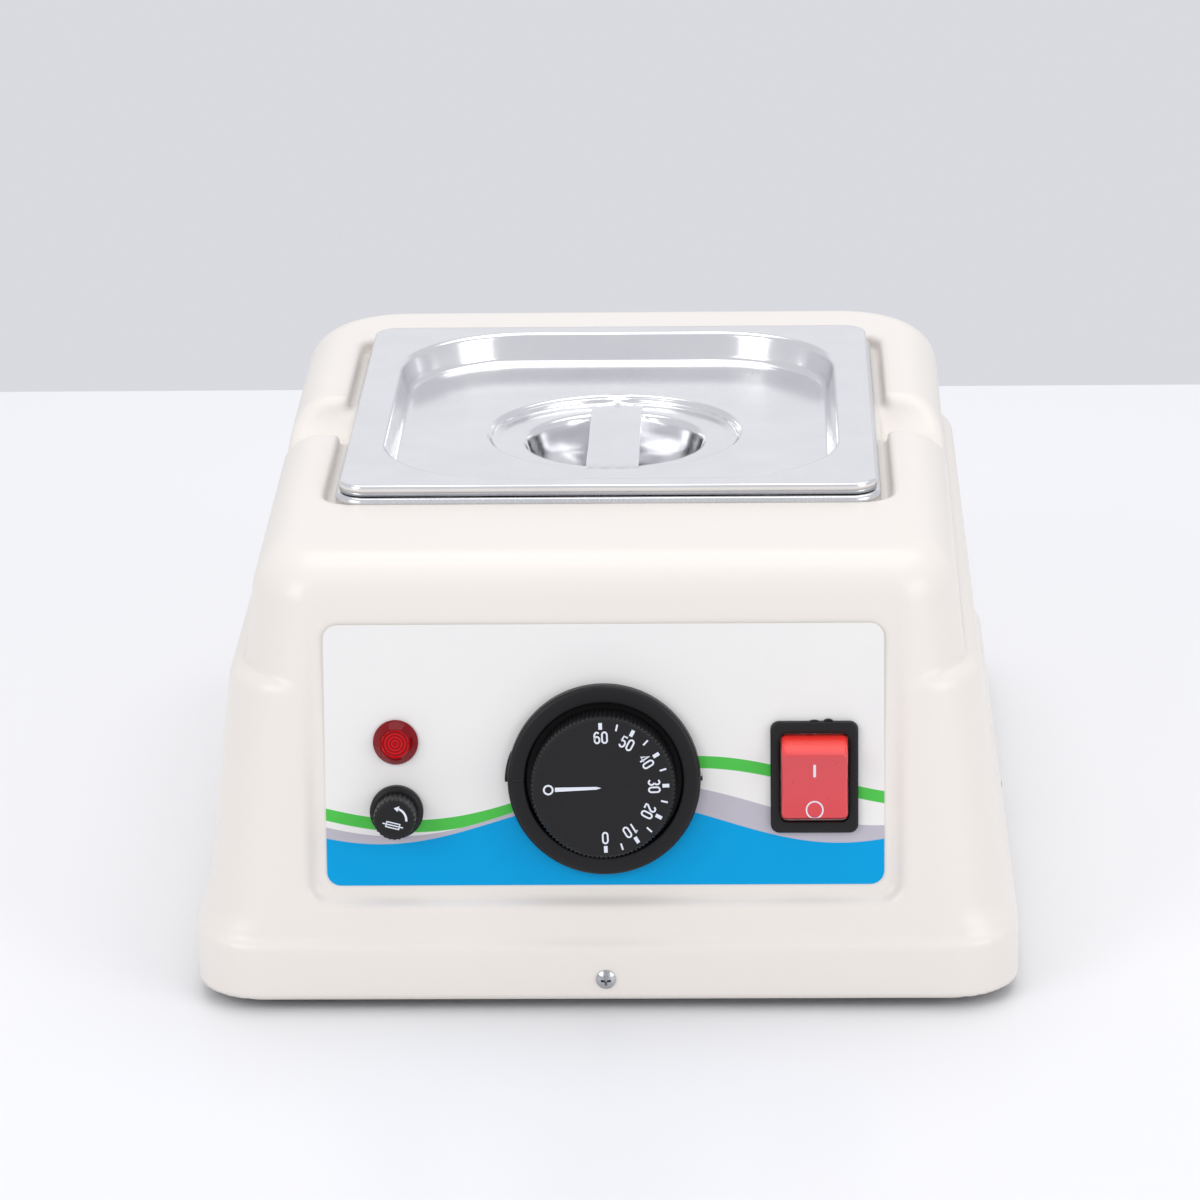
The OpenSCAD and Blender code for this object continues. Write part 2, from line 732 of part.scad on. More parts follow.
module thermal_cutout() {
    color("goldenrod") translate([0, pan_y, heater_z]) {
        translate([0, 0, -cutout_h]) cylinder(h = cutout_h, d = cutout_w);
        for (side = [-1, 1]) translate([side * cutout_w / 4 - tab_t / 2, -tab_w / 2, -cutout_h - cutout_tab + fit])
            cube([tab_t, tab_w, cutout_tab]);
    }
}

module insulation_wrap() {
    low = tank_base_z + tank_base_r;
    high = foot_gap + step_h - step_r;
    open_y = tank_half_y(low) - tank_r / 2;
    color("khaki") difference() {
        loft([for (z = [low, high]) tank_ring(z, tank_t + fit + wrap_t, 0)]);
        loft([for (z = [low - over, high + over]) tank_ring(z, tank_t + fit, 0)]);
        translate([-case_w / 2, pan_y - open_y - case_d, low - over]) cube([case_w, case_d, high]);
    }
}

// The food pan and its lid

module food_pan() {
    function half(z) = pan_draft * (bead_z - z) / pan_h;
    function ring(z, margin) = pan_ring(mouth_x - half(z) + margin, mouth_y - half(z) + margin,
        mouth_r - half(z) + margin, z);
    outside = [for (k = [0:5]) let (a = 90 * k / 5)
        ring(pan_base_z + pan_base_r * (1 - cos(a)), sheet - pan_base_r * (1 - sin(a)))];
    inside = [for (k = [5:-1:0]) let (a = 90 * k / 5, r = pan_base_r - sheet)
        ring(pan_base_z + sheet + r * (1 - cos(a)), -r * (1 - sin(a)))];
    function rim(inset, z) = pan_ring(pan_w / 2 - inset, pan_l / 2 - inset, rim_r - inset, z);
    color("silver") loft(concat(
        outside,
        [ring(rim_z - sheet, sheet),
         ring(bead_z - sheet, sheet + rim_round),
         ring(bead_z - sheet, bead_w),
         ring(rim_z - sheet, bead_w + rim_round),
         rim(2 * sheet, rim_z - sheet),
         rim(sheet, rim_z - 2 * sheet),
         rim(sheet, seat_z),
         rim(0, seat_z),
         rim(0, rim_z - rim_round),
         rim(rim_round * turn_share, rim_z - rim_round * turn_share),
         rim(rim_round, rim_z),
         ring(rim_z, bead_w + rim_round + sheet),
         ring(bead_z, bead_w + sheet / 2),
         ring(bead_z, rim_round),
         ring(bead_z - rim_round * turn_share, rim_round * turn_share),
         ring(bead_z - rim_round, 0)],
        inside));
}

module lid() {
    function field(inset, z) = pan_ring(field_x - inset, field_y - inset, field_r - inset, z);
    function edge(inset, z) = pan_ring(lid_x - inset, lid_y - inset, lid_r - inset, z);
    function round_ring(r, z) = pan_ring(r, r, r, z);
    bowl_shares = [[0.3, 1], [0.55, 0.95], [0.78, 0.8], [0.92, 0.5], [0.98, 0.2]];
    below = concat(
        [for (s = bowl_shares) round_ring(bowl_r * s[0] + sheet, ring_z - bowl_depth * s[1] - sheet)],
        [round_ring(bowl_r + sheet + turn_share * sheet, ring_z - sheet - sheet),
         round_ring(bowl_r + 2 * sheet, ring_z - sheet),
         round_ring(ring_r - sheet, ring_z - sheet),
         round_ring(ring_r + 2 * sheet, field_z - sheet),
         field(field_slope + 2 * field_round, field_z - sheet),
         field(field_slope - sheet, field_z + field_round - sheet),
         field(-sheet, plate_z - sheet - field_round),
         field(-sheet - field_round, plate_z - sheet),
         edge(2 * sheet, plate_z - sheet),
         edge(sheet, plate_z - lid_edge_h)]);
    above = concat(
        [edge(0, plate_z - lid_edge_h),
         edge(0, plate_z - sheet),
         edge(sheet * turn_share, plate_z - sheet * turn_share),
         edge(sheet, plate_z),
         field(-field_round, plate_z),
         field(-field_round * turn_share, plate_z - field_round * turn_share),
         field(0, plate_z - field_round),
         field(field_slope, field_z + field_round),
         field(field_slope + 2 * field_round * turn_share, field_z + field_round * turn_share),
         field(field_slope + 2 * field_round, field_z),
         round_ring(ring_r + 2 * sheet, field_z),
         round_ring(ring_r, field_z - ring_depth * turn_share),
         round_ring(ring_r - sheet, ring_z + ring_depth * turn_share),
         round_ring(ring_r - 2 * sheet, ring_z),
         round_ring(bowl_r + 2 * sheet, ring_z)],
        [for (i = [len(bowl_shares) - 1:-1:0]) let (s = bowl_shares[i])
            round_ring(bowl_r * s[0], ring_z - bowl_depth * s[1])]);
    color("silver") loft(concat(below, above));
}

// A flat strap across the bowl, welded to the step at both ends
module lid_handle() {
    color("gainsboro") translate([-strap_w / 2, pan_y - strap_l / 2, ring_z]) cube([strap_w, strap_l, strap_t]);
}

// The panel, the thermostat and the knob

module panel_overlay() {
    color("deepskyblue") difference() {
        on_panel(0, 0) plate(overlay_w, overlay_h, overlay_r, overlay_t);
        case_holes();
    }
}

module knob_bezel() {
    r = bezel_d / 2;
    bore = bezel_bore_d / 2;
    color("black") on_panel(0, knob_v) difference() {
        translate([0, 0, overlay_t]) rotate_extrude($fn = 96) polygon([
            [bush_d / 2 + close_fit, 0], [r, 0], [r, bezel_h - overlay_t - 2 * bezel_lip],
            [r - bezel_lip * turn_share, bezel_h - overlay_t - bezel_lip],
            [r - bezel_lip, bezel_h - overlay_t - bezel_lip * turn_share],
            [r - 2 * bezel_lip, bezel_h - overlay_t], [bore + bezel_lip / 2, bezel_h - overlay_t],
            [bore, bezel_h - overlay_t - bezel_lip / 2], [bore, bezel_floor_t], [bush_d / 2 + close_fit, bezel_floor_t]]);
        for (sx = [-1, 1]) translate([sx * thermo_pitch / 2, 0, -over])
            cylinder(h = bezel_h, d = m4_d + 2 * close_fit);
    }
}

module thermostat_screws() {
    color("gainsboro") on_panel(0, knob_v) for (sx = [-1, 1])
        translate([sx * thermo_pitch / 2, 0, overlay_t + bezel_floor_t])
            screw(m4_d, overlay_t + bezel_floor_t + wall + bracket_t, thermo_screw_head_d, thermo_screw_head_h);
}

module thermostat_bracket() {
    color("silver") on_panel(0, knob_v) difference() {
        translate([0, 0, -wall - bracket_t]) plate(bracket_w, bracket_h, bracket_r, bracket_t);
        translate([0, 0, -wall - bracket_t - over]) cylinder(h = bracket_t + 2 * over, d = bush_d + 2 * close_fit);
        for (sx = [-1, 1]) translate([sx * thermo_pitch / 2, 0, -wall - bracket_t - over])
            cylinder(h = bracket_t + 2 * over, d = m4_d + 2 * touch);
    }
}

module thermostat_body() {
    color("whitesmoke") on_panel(0, knob_v) difference() {
        union() {
            translate([0, 0, -wall - bracket_t - thermo_t]) plate(thermo_w, thermo_h, thermo_r, thermo_t);
            translate([0, 0, -wall - bracket_t]) cylinder(h = wall + bracket_t + overlay_t + over, d = bush_d);
        }
        translate([0, 0, -wall - bracket_t - thermo_t / 2])
            cylinder(h = 2 * thermo_t, d = spindle_d + 2 * run_fit);
    }
}

module thermostat_spindle() {
    bottom = -wall - bracket_t - thermo_t / 2 + fit;
    color("silver") on_panel(0, knob_v) difference() {
        translate([0, 0, bottom]) cylinder(h = knob_h - knob_face_t - fit - bottom, d = spindle_d);
        translate([spindle_d / 4, -spindle_d, overlay_t + 2 * over])
            cube([spindle_d, 2 * spindle_d, knob_h]);
    }
}

module thermostat_terminals() {
    color("gold") on_panel(0, knob_v) for (sx = [-1, 1])
        translate([sx * thermo_w / 4 - tab_w / 2, -tab_t / 2, -wall - bracket_t - thermo_t - tab_l])
            cube([tab_w, tab_t, tab_l]);
}

module knob() {
    r = knob_d / 2;
    low = overlay_t + bezel_floor_t + knob_lift;
    top = knob_h;
    color("black") on_panel(0, knob_v) difference() {
        rotate_extrude($fn = 96) polygon([
            [spindle_d / 2, low + thermo_screw_head_h], [knob_boss_d / 2, low + thermo_screw_head_h],
            [knob_boss_d / 2, top - knob_face_t], [r - knob_wall, top - knob_face_t], [r - knob_wall, low],
            [r, low], [r, top - knob_lip], [r - knob_lip, top], [0, top], [0, top - knob_face_t],
            [spindle_d / 2, top - knob_face_t]]);
        for (i = [0:knob_flutes - 1]) rotate(360 * i / knob_flutes)
            translate([r, 0, low + knob_lip]) cylinder(h = knob_h, d = knob_flute_d, $fn = 4);
    }
}

module sensor_bulb() {
    color("peru") on_tank_front(bulb_z) translate([-bulb_l / 2, -bulb_d / 2 - close_fit, 0])
        rotate([0, 90, 0]) cylinder(h = bulb_l, d = bulb_d);
}

module bulb_clip() {
    clip_h = bulb_d + 2 * clip_side;
    clip_t = bulb_d + clip_sheet;
    color("silver") on_tank_front(bulb_z) difference() {
        for (sx = [-1, 1]) translate([sx * bulb_l / 4 - clip_w / 2, -clip_t, -clip_h / 2])
            cube([clip_w, clip_t - touch, clip_h]);
        translate([-bulb_l, -bulb_d / 2 - close_fit, 0]) rotate([0, 90, 0])
            cylinder(h = 2 * bulb_l, d = bulb_d + 2 * run_fit);
    }
}

module capillary_tube() {
    half_y = tank_top_y + tank_t - (seat_z - bulb_z) * tan(tank_lean);
    start = [bulb_l / 2, pan_y - half_y - (bulb_d / 2 + close_fit) * cos(tank_lean),
        bulb_z - (bulb_d / 2 + close_fit) * sin(tank_lean)];
    thermo_back = wall + bracket_t + thermo_t;
    end = panel_point(thermo_w / 4, knob_v + thermo_h / 4, -thermo_back);
    before = panel_point(thermo_w / 4, knob_v + thermo_h / 4, -thermo_back - bulb_d);
    color("peru") lead([start, start + [bulb_d, 0, 0], start + [2 * bulb_d, -3 * bulb_d, 2 * bulb_d],
        before, end], capillary_d);
}

// A point given in the panel's own axes: across, up the panel, and out of it
function panel_point(u, v, out) = [
    u,
    panel_y + v * sin(panel_lean) - out * cos(panel_lean),
    panel_z + v * cos(panel_lean) + out * sin(panel_lean)];

// The rocker switch

module switch_housing() {
    color("black") on_panel(switch_u, switch_v) difference() {
        union() {
            translate([0, 0, overlay_t]) plate(switch_w, switch_h, switch_r, switch_flange_t);
            translate([0, 0, overlay_t - switch_body_l]) linear_extrude(switch_body_l)
                square([switch_body_w, switch_body_h], center = true);
            for (x = [0, nib_pitch]) translate([x - nib_w / 2, switch_h / 2 - fit, overlay_t])
                cube([nib_w, nib_h + fit, switch_flange_t / 2]);
        }
        translate([0, 0, overlay_t + switch_flange_t - switch_cavity_l - pivot_drop])
            linear_extrude(switch_body_l) square([rocker_w + 2 * fit, 2 * rocker_r + 3 * fit], center = true);
        rocker_axis() cylinder(h = switch_body_w, d = pivot_d + 2 * run_fit, center = true);
    }
}

// Local z along the rocker's pivot, which lies below the bezel's face
module rocker_axis() {
    translate([0, 0, overlay_t + switch_flange_t - pivot_drop]) rotate([0, 90, 0]) children();
}

module switch_rocker() {
    pin_l = rocker_w + 2 * fit + over;
    ridge_x = rocker_r * cos(ridge_turn);
    ridge_z = rocker_r * sin(ridge_turn);
    low_turn = asin(rocker_flat / rocker_r);
    ends = [for (k = [0:6]) let (a = -low_turn + (ridge_turn + low_turn) * k / 6)
        rocker_r * [cos(a), sin(a)]];
    dish = [for (k = [1:5]) let (x = ridge_x * (1 - k / 3)) [x, ridge_z - face_dish * (1 - pow(x / ridge_x, 2))]];
    other_end = [for (k = [6:-1:0]) [-ends[k].x, ends[k].y]];
    color("red") on_panel(switch_u, switch_v) translate([0, 0, overlay_t + switch_flange_t - pivot_drop])
        rotate([rocker_tilt, 0, 0]) {
            translate([-rocker_w / 2, 0, 0]) rotate([90, 0, 90]) linear_extrude(rocker_w)
                polygon(concat(ends, dish, other_end));
            rotate([0, 90, 0]) cylinder(h = pin_l, d = pivot_d, center = true);
        }
}

module switch_terminals() {
    color("gold") on_panel(switch_u, switch_v) for (sx = [-1, 1]) for (sy = [-1, 1])
        translate([sx * switch_body_w / 4 - tab_t / 2, sy * switch_body_h / 4 - tab_w / 2,
            overlay_t - switch_body_l - tab_l]) cube([tab_t, tab_w, tab_l]);
}

// The lamp

module lamp_lens() {
    r = lamp_d / 2;
    color("red") on_panel(lamp_u, lamp_v) translate([0, 0, overlay_t]) rotate_extrude() polygon([
        [0, 0], [r, 0], [r, lamp_h / 4], [lamp_middle_r + lamp_h / 4, lamp_h], [lamp_middle_r, lamp_h],
        for (s = lens_shares) [lamp_middle_r * s[0], lamp_h * s[1]]]);
}

module lamp_body() {
    color("dimgray") on_panel(lamp_u, lamp_v) translate([0, 0, overlay_t - lamp_barrel_l])
        cylinder(h = lamp_barrel_l, d = lamp_barrel_d);
}

module lamp_nut() {
    color("black") on_panel(lamp_u, lamp_v) translate([0, 0, -wall - lamp_nut_h]) difference() {
        cylinder(h = lamp_nut_h, d = lamp_nut_d, $fn = 6);
        translate([0, 0, -over]) cylinder(h = lamp_nut_h + 2 * over, d = lamp_barrel_d + 2 * touch);
    }
}

module lamp_terminals() {
    color("gold") on_panel(lamp_u, lamp_v) for (sx = [-1, 1])
        translate([sx * lamp_barrel_d / 4 - tab_t / 2, -tab_w / 4, overlay_t - lamp_barrel_l - tab_l])
            cube([tab_t, tab_w / 2, tab_l]);
}

// The fuse holder

module fuse_holder() {
    color("black") on_panel(lamp_u, fuse_v) difference() {
        union() {
            translate([0, 0, overlay_t - fuse_barrel_l]) cylinder(h = fuse_barrel_l, d = fuse_barrel_d);
            translate([0, 0, overlay_t]) rotate_extrude() polygon([[0, 0], [fuse_collar_d / 2, 0],
                [fuse_collar_d / 2, fuse_collar_h / 2], [fuse_collar_d / 2 - over, fuse_collar_h], [0, fuse_collar_h]]);
        }
        translate([0, 0, overlay_t - fuse_barrel_l + wall]) cylinder(h = 2 * fuse_barrel_l, d = fuse_bore_d);
        translate([0, 0, overlay_t - wall]) cylinder(h = 2 * wall + fuse_collar_h, d = bayonet_d);
    }
}

module fuse_holder_nut() {
    color("black") on_panel(lamp_u, fuse_v) translate([0, 0, -wall - fuse_nut_h]) difference() {
        cylinder(h = fuse_nut_h, d = fuse_nut_d, $fn = 6);
        translate([0, 0, -over]) cylinder(h = fuse_nut_h + 2 * over, d = fuse_barrel_d + 2 * touch);
    }
}

module fuse_holder_terminals() {
    color("gold") on_panel(lamp_u, fuse_v) {
        translate([-tab_t / 2, -tab_w / 2, overlay_t - fuse_barrel_l - tab_l]) cube([tab_t, tab_w, tab_l]);
        translate([-tab_w / 2, -fuse_barrel_d / 2 - tab_l, overlay_t - fuse_barrel_l * fuse_side_share])
            cube([tab_w, tab_l - touch, tab_t]);
    }
}

module fuse_cap() {
    r = fuse_cap_d / 2;
    low = overlay_t + fuse_collar_h + fit;
    plug_d = bayonet_d - 2 * fit;
    plug_low = overlay_t - wall + fit;
    color("black") on_panel(lamp_u, fuse_v) difference() {
        union() {
            translate([0, 0, low]) rotate_extrude() polygon([[0, 0], [r, 0], [r, fuse_cap_h - low - over],
                [r - over, fuse_cap_h - low], [0, fuse_cap_h - low]]);
            translate([0, 0, plug_low]) cylinder(h = low - plug_low + over, d = plug_d);
        }
        for (i = [0:cap_ribs - 1]) rotate(360 * i / cap_ribs) translate([r, 0, low - over])
            cylinder(h = fuse_cap_h, d = cap_rib_d, $fn = 4);
        translate([0, 0, plug_low - over]) cylinder(h = fuse_grip + over, d = fuse_d + 2 * run_fit);
    }
}

module glass_fuse() {
    top = overlay_t - wall + fit + fuse_grip;
    color("lightcyan") on_panel(lamp_u, fuse_v) translate([0, 0, top - fuse_l]) {
        cylinder(h = fuse_end_l, d = fuse_d);
        translate([0, 0, fuse_l - fuse_end_l]) cylinder(h = fuse_end_l, d = fuse_d);
        translate([0, 0, fuse_end_l - touch])
            cylinder(h = fuse_l - 2 * fuse_end_l + 2 * touch, d = fuse_d - 2 * fuse_step);
    }
}

// The power inlet at the rear

module on_inlet() {
    translate([0, rear_y - inlet_plane, inlet_z]) rotate([90, 0, 180]) children();
}

module inlet_socket() {
    color("black") on_inlet() difference() {
        union() {
            plate(inlet_w, inlet_h, inlet_r, inlet_flange_t);
            translate([0, 0, -inlet_body_l]) linear_extrude(inlet_body_l + over)
                square([inlet_body_w, inlet_body_h], center = true);
        }
        translate([0, 0, inlet_flange_t - inlet_mouth_l]) linear_extrude(inlet_mouth_l + over)
            square([inlet_mouth_w, inlet_mouth_h], center = true);
        for (p = inlet_pin_places) translate([p.x, p.y, -inlet_body_l - over])
            linear_extrude(inlet_body_l)
                square([inlet_pin_t + 2 * touch, inlet_pin_h + 2 * touch], center = true);
        for (sx = [-1, 1]) translate([sx * inlet_pitch / 2, 0, -over])
            cylinder(h = inlet_flange_t + 2 * over, d = inlet_screw_d + 2 * close_fit);
    }
}

module inlet_pins() {
    color("gold") on_inlet() for (p = inlet_pin_places)
        translate([p.x - inlet_pin_t / 2, p.y - inlet_pin_h / 2, -inlet_body_l - tab_l])
            cube([inlet_pin_t, inlet_pin_h, inlet_body_l + tab_l - inlet_pin_out]);
}

module inlet_screws() {
    color("gainsboro") on_inlet() for (sx = [-1, 1]) translate([sx * inlet_pitch / 2, 0, inlet_flange_t])
        screw(inlet_screw_d, inlet_flange_t + wall + m3_nut_h + over, inlet_screw_head_d, inlet_screw_head_h);
}

module inlet_nuts() {
    color("silver") on_inlet() for (sx = [-1, 1]) translate([sx * inlet_pitch / 2, 0, -wall - m3_nut_h])
        nut(m3_nut_w, inlet_screw_d + 2 * touch, m3_nut_h);
}

// Earth stud and wiring

module on_stud() {
    translate([stud_x, stud_y, tray_floor_z]) children();
}

module earth_stud() {
    color("gold") on_stud() translate([0, 0, -tray_t - over / 2]) {
        cylinder(h = over / 2, d = 2 * m4_d);
        cylinder(h = stud_h, d = m4_d);
    }
}

module earth_nuts() {
    color("silver") on_stud() for (z = [0, m4_nut_h + lug_t]) translate([0, 0, z])
        nut(m4_nut_w, m4_d + 2 * touch, m4_nut_h);
}

// A lead's first or last two points at a tab on the panel's rear side: the tab's end and a straight run out of it
function off_tab(u, v, back) = [panel_point(u, v, -back), panel_point(u, v, -back - wire_turn)];

// The same at the rear inlet, at one of its pins
function off_pin(i) = let (p = inlet_pin_places[i], y = rear_y - inlet_plane - inlet_body_l - tab_l)
    [[-p.x, y, inlet_z + p.y], [-p.x, y - wire_turn, inlet_z + p.y]];

// Lengths behind the panel to the tabs' ends, and the tabs' places
fuse_tab_back = fuse_barrel_l + tab_l - overlay_t;
lamp_tab_back = lamp_barrel_l + tab_l - overlay_t;
switch_tab_back = switch_body_l + tab_l - overlay_t;
thermo_tab_back = wall + bracket_t + thermo_t + tab_l;
switch_tab_u = switch_body_w / 4;
switch_tab_v = switch_body_h / 4;
slot_z = heater_z - lead_drop;
slot_front = pan_y - tank_half_y(tank_base_z);

module live_wires() {
    // inlet to fuse holder
    fuse_end = off_tab(lamp_u, fuse_v, fuse_tab_back);
    pin = off_pin(1);
    color("saddlebrown") lead([pin[0], pin[1], [-wire_side / 2, pin[1].y, inlet_z / 2],
        [-wire_side, pan_y + wire_rear, wire_low], [-wire_side, slot_front, wire_low],
        fuse_end[1], fuse_end[0]], wire_d);
    // fuse holder to switch
    switch_in = off_tab(switch_u - switch_tab_u, switch_v - switch_tab_v, switch_tab_back);
    side_out = fuse_barrel_l * fuse_side_share - overlay_t - tab_t / 2;
    side_v = fuse_v - fuse_barrel_d / 2 - tab_l;
    color("saddlebrown") lead([panel_point(lamp_u, side_v, -side_out),
        panel_point(lamp_u, side_v - wire_turn / 2, -side_out),
        panel_point(lamp_u + wire_turn, side_v - wire_turn, -switch_tab_back),
        panel_point(switch_u / 2, side_v - wire_turn, -switch_tab_back),
        switch_in[1], switch_in[0]], wire_d);
    // switch to thermostat
    switch_out = off_tab(switch_u - switch_tab_u, switch_v + switch_tab_v, switch_tab_back);
    thermo_in = off_tab(thermo_w / 4, knob_v, thermo_tab_back);
    color("saddlebrown") lead([switch_out[0], switch_out[1], thermo_in[1], thermo_in[0]], wire_d);
}

module neutral_wires() {
    // inlet to switch
    switch_in = off_tab(switch_u + switch_tab_u, switch_v - switch_tab_v, switch_tab_back);
    pin = off_pin(0);
    color("royalblue") lead([pin[0], pin[1], [wire_side / 2, pin[1].y, inlet_z / 2],
        [wire_side, pan_y + wire_rear, wire_low], [wire_side, slot_front, wire_low],
        switch_in[1], switch_in[0]], wire_d);
}

module earth_wire() {
    pin = off_pin(2);
    lug_z = tray_floor_z + m4_nut_h;
    color("olivedrab") lead([pin[0], pin[1], [stud_x / 2, pin[1].y + wire_turn / 2, inlet_z / 2],
        [stud_x + wire_turn, stud_y, lug_z + lug_t / 2 + wire_d],
        [stud_x + m4_nut_w, stud_y, lug_z + lug_t / 2]], wire_d * thin_wire_share);
}

module heater_leads() {
    // thermostat to thermal cutout
    thermo_out = off_tab(-thermo_w / 4, knob_v, thermo_tab_back);
    tab_face = cutout_w / 4 + tab_t / 2;
    color("white") lead([thermo_out[0], thermo_out[1], [-lead_side, slot_front - wire_turn, slot_z + wire_turn],
        [-lead_side, slot_front, slot_z], [-lead_side, pan_y, slot_z], [-tab_face, pan_y, slot_z]], wire_d);
    // thermal cutout to heater
    back_y = pan_y - cutout_w;
    color("white") lead([[tab_face, pan_y, slot_z], [lead_side, pan_y, slot_z], [lead_side, back_y, slot_z],
        [lead_side, back_y, heater_z]], wire_d);
    // switch to heater
    switch_out = off_tab(switch_u + switch_tab_u, switch_v + switch_tab_v, switch_tab_back);
    color("white") lead([switch_out[0], switch_out[1], [switch_u, slot_front - wire_turn, slot_z + 2 * wire_turn],
        [lead_side, slot_front, slot_z], [lead_side, pan_y - 2 * cutout_w, slot_z],
        [lead_side, pan_y - 2 * cutout_w, heater_z]], wire_d);
}

module lamp_leads() {
    lamp_wire_d = wire_d * thin_wire_share;
    // thermostat side
    live = off_tab(lamp_u + lamp_barrel_d / 4, lamp_v, lamp_tab_back);
    thermo_u = -thermo_w / 4;
    thermo_back = thermo_tab_back - tab_l / 2;
    high_v = knob_v + thermo_h / 2;
    color("white") lead([live[0], live[1], panel_point(thermo_u - wire_turn, high_v, -thermo_back),
        panel_point(thermo_u, high_v - wire_turn, -thermo_back),
        panel_point(thermo_u, knob_v + tab_t / 2, -thermo_back)], lamp_wire_d);
    // switch side
    other = off_tab(lamp_u - lamp_barrel_d / 4, lamp_v, lamp_tab_back);
    side_u = switch_u + switch_tab_u + tab_t / 2;
    side_v = switch_v + switch_tab_v;
    side_back = switch_tab_back - tab_l / 3;
    over_v = high_v + 2 * wire_turn;
    color("white") lead([other[0], other[1], panel_point(lamp_u / 2, over_v, -lamp_tab_back),
        panel_point(switch_u, over_v, -lamp_tab_back), panel_point(side_u + wire_turn, side_v, -side_back),
        panel_point(side_u, side_v, -side_back)], lamp_wire_d);
}

casing();
base_tray();
base_screws();
rubber_feet();
foot_screws();
foot_nuts();
panel_overlay();
heated_tank();
tank_screws();
tank_nuts();
heater_mat();
insulation_block();
insulation_wrap();
thermal_cutout();
food_pan();
lid();
lid_handle();
thermostat_body();
thermostat_bracket();
thermostat_screws();
thermostat_terminals();
capillary_tube();
sensor_bulb();
bulb_clip();
knob_bezel();
thermostat_spindle();
knob();
switch_housing();
switch_rocker();
switch_terminals();
lamp_lens();
lamp_body();
lamp_nut();
lamp_terminals();
fuse_holder();
fuse_holder_nut();
fuse_holder_terminals();
fuse_cap();
glass_fuse();
inlet_socket();
inlet_pins();
inlet_screws();
inlet_nuts();
earth_stud();
earth_nuts();
live_wires();
neutral_wires();
earth_wire();
heater_leads();
lamp_leads();
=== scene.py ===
"""Looks of the chocolate melting pot: an ivory moulded casing, a bright food pan and lid, and a control panel."""
import json
import math

import bmesh
import bpy
import numpy as np
from mathutils import Matrix, Vector

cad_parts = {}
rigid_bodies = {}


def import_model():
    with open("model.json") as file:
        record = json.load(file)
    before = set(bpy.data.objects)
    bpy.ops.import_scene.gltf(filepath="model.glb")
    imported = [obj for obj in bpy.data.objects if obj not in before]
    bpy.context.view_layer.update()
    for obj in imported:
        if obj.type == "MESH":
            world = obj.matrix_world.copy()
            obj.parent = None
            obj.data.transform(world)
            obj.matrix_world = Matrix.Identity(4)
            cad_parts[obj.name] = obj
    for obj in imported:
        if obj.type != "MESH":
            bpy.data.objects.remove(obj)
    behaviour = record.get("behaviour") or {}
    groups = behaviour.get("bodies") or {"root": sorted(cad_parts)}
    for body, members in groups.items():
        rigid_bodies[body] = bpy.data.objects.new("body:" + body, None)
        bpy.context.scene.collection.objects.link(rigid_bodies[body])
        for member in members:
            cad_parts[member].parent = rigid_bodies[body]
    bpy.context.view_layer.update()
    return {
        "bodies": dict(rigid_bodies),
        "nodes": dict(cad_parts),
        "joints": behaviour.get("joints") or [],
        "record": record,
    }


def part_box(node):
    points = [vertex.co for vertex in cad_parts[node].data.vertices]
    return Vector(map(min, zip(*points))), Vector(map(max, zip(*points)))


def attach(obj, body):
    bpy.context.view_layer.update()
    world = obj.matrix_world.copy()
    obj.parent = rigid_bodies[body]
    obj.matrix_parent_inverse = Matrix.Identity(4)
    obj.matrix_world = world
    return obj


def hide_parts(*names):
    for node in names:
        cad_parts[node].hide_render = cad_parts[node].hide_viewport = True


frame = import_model()
MM = 0.001

# Where things are, in millimetres. The panel's middle and the pan's middle carry everything on them.
CASE_W, CASE_D, DECK = 239.0, 314.0, 130.0
BOTTOM = 3.5
WALL = 4.0
PANEL_LEAN = math.radians(8.35)
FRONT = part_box("casing")[0][1] / MM
REAR = FRONT + CASE_D
MIDDLE_Y = (FRONT + REAR) / 2
PAN_Y = FRONT + 165.5
PANEL_Y, PANEL_Z = FRONT + 13.7, 73.9
SEAT, RIM, BEAD = 126.0, 131.0, 133.7
PLATE = BEAD + 0.8


# Meshes


def new_piece(name, verts, faces, body, smooth=True, replaces=()):
    """A mesh piece from points in millimetres, its faces turned outward, riding on a body."""
    mesh = bpy.data.meshes.new(name)
    mesh.from_pydata((np.asarray(verts, float) * MM).tolist(), [], [list(map(int, f)) for f in faces])
    mesh.validate()
    work = bmesh.new()
    work.from_mesh(mesh)
    bmesh.ops.recalc_face_normals(work, faces=work.faces)
    work.to_mesh(mesh)
    work.free()
    mesh.polygons.foreach_set("use_smooth", [smooth] * len(mesh.polygons))
    mesh.update()
    piece = bpy.data.objects.new(name, mesh)
    bpy.context.collection.objects.link(piece)
    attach(piece, body)
    if replaces:
        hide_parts(*replaces)
    return piece


def crisp(piece, angle=35):
    """Smooth shading that breaks at real edges."""
    mesh = piece.data
    mesh.polygons.foreach_set("use_smooth", [True] * len(mesh.polygons))
    edges = {}
    for polygon in mesh.polygons:
        for key in polygon.edge_keys:
            edges.setdefault(key, []).append(polygon.normal)
    limit = math.cos(math.radians(angle))
    sharp = {key for key, normals in edges.items() if len(normals) == 2 and normals[0].dot(normals[1]) < limit}
    for edge in mesh.edges:
        edge.use_edge_sharp = tuple(sorted(edge.vertices)) in sharp
    return piece


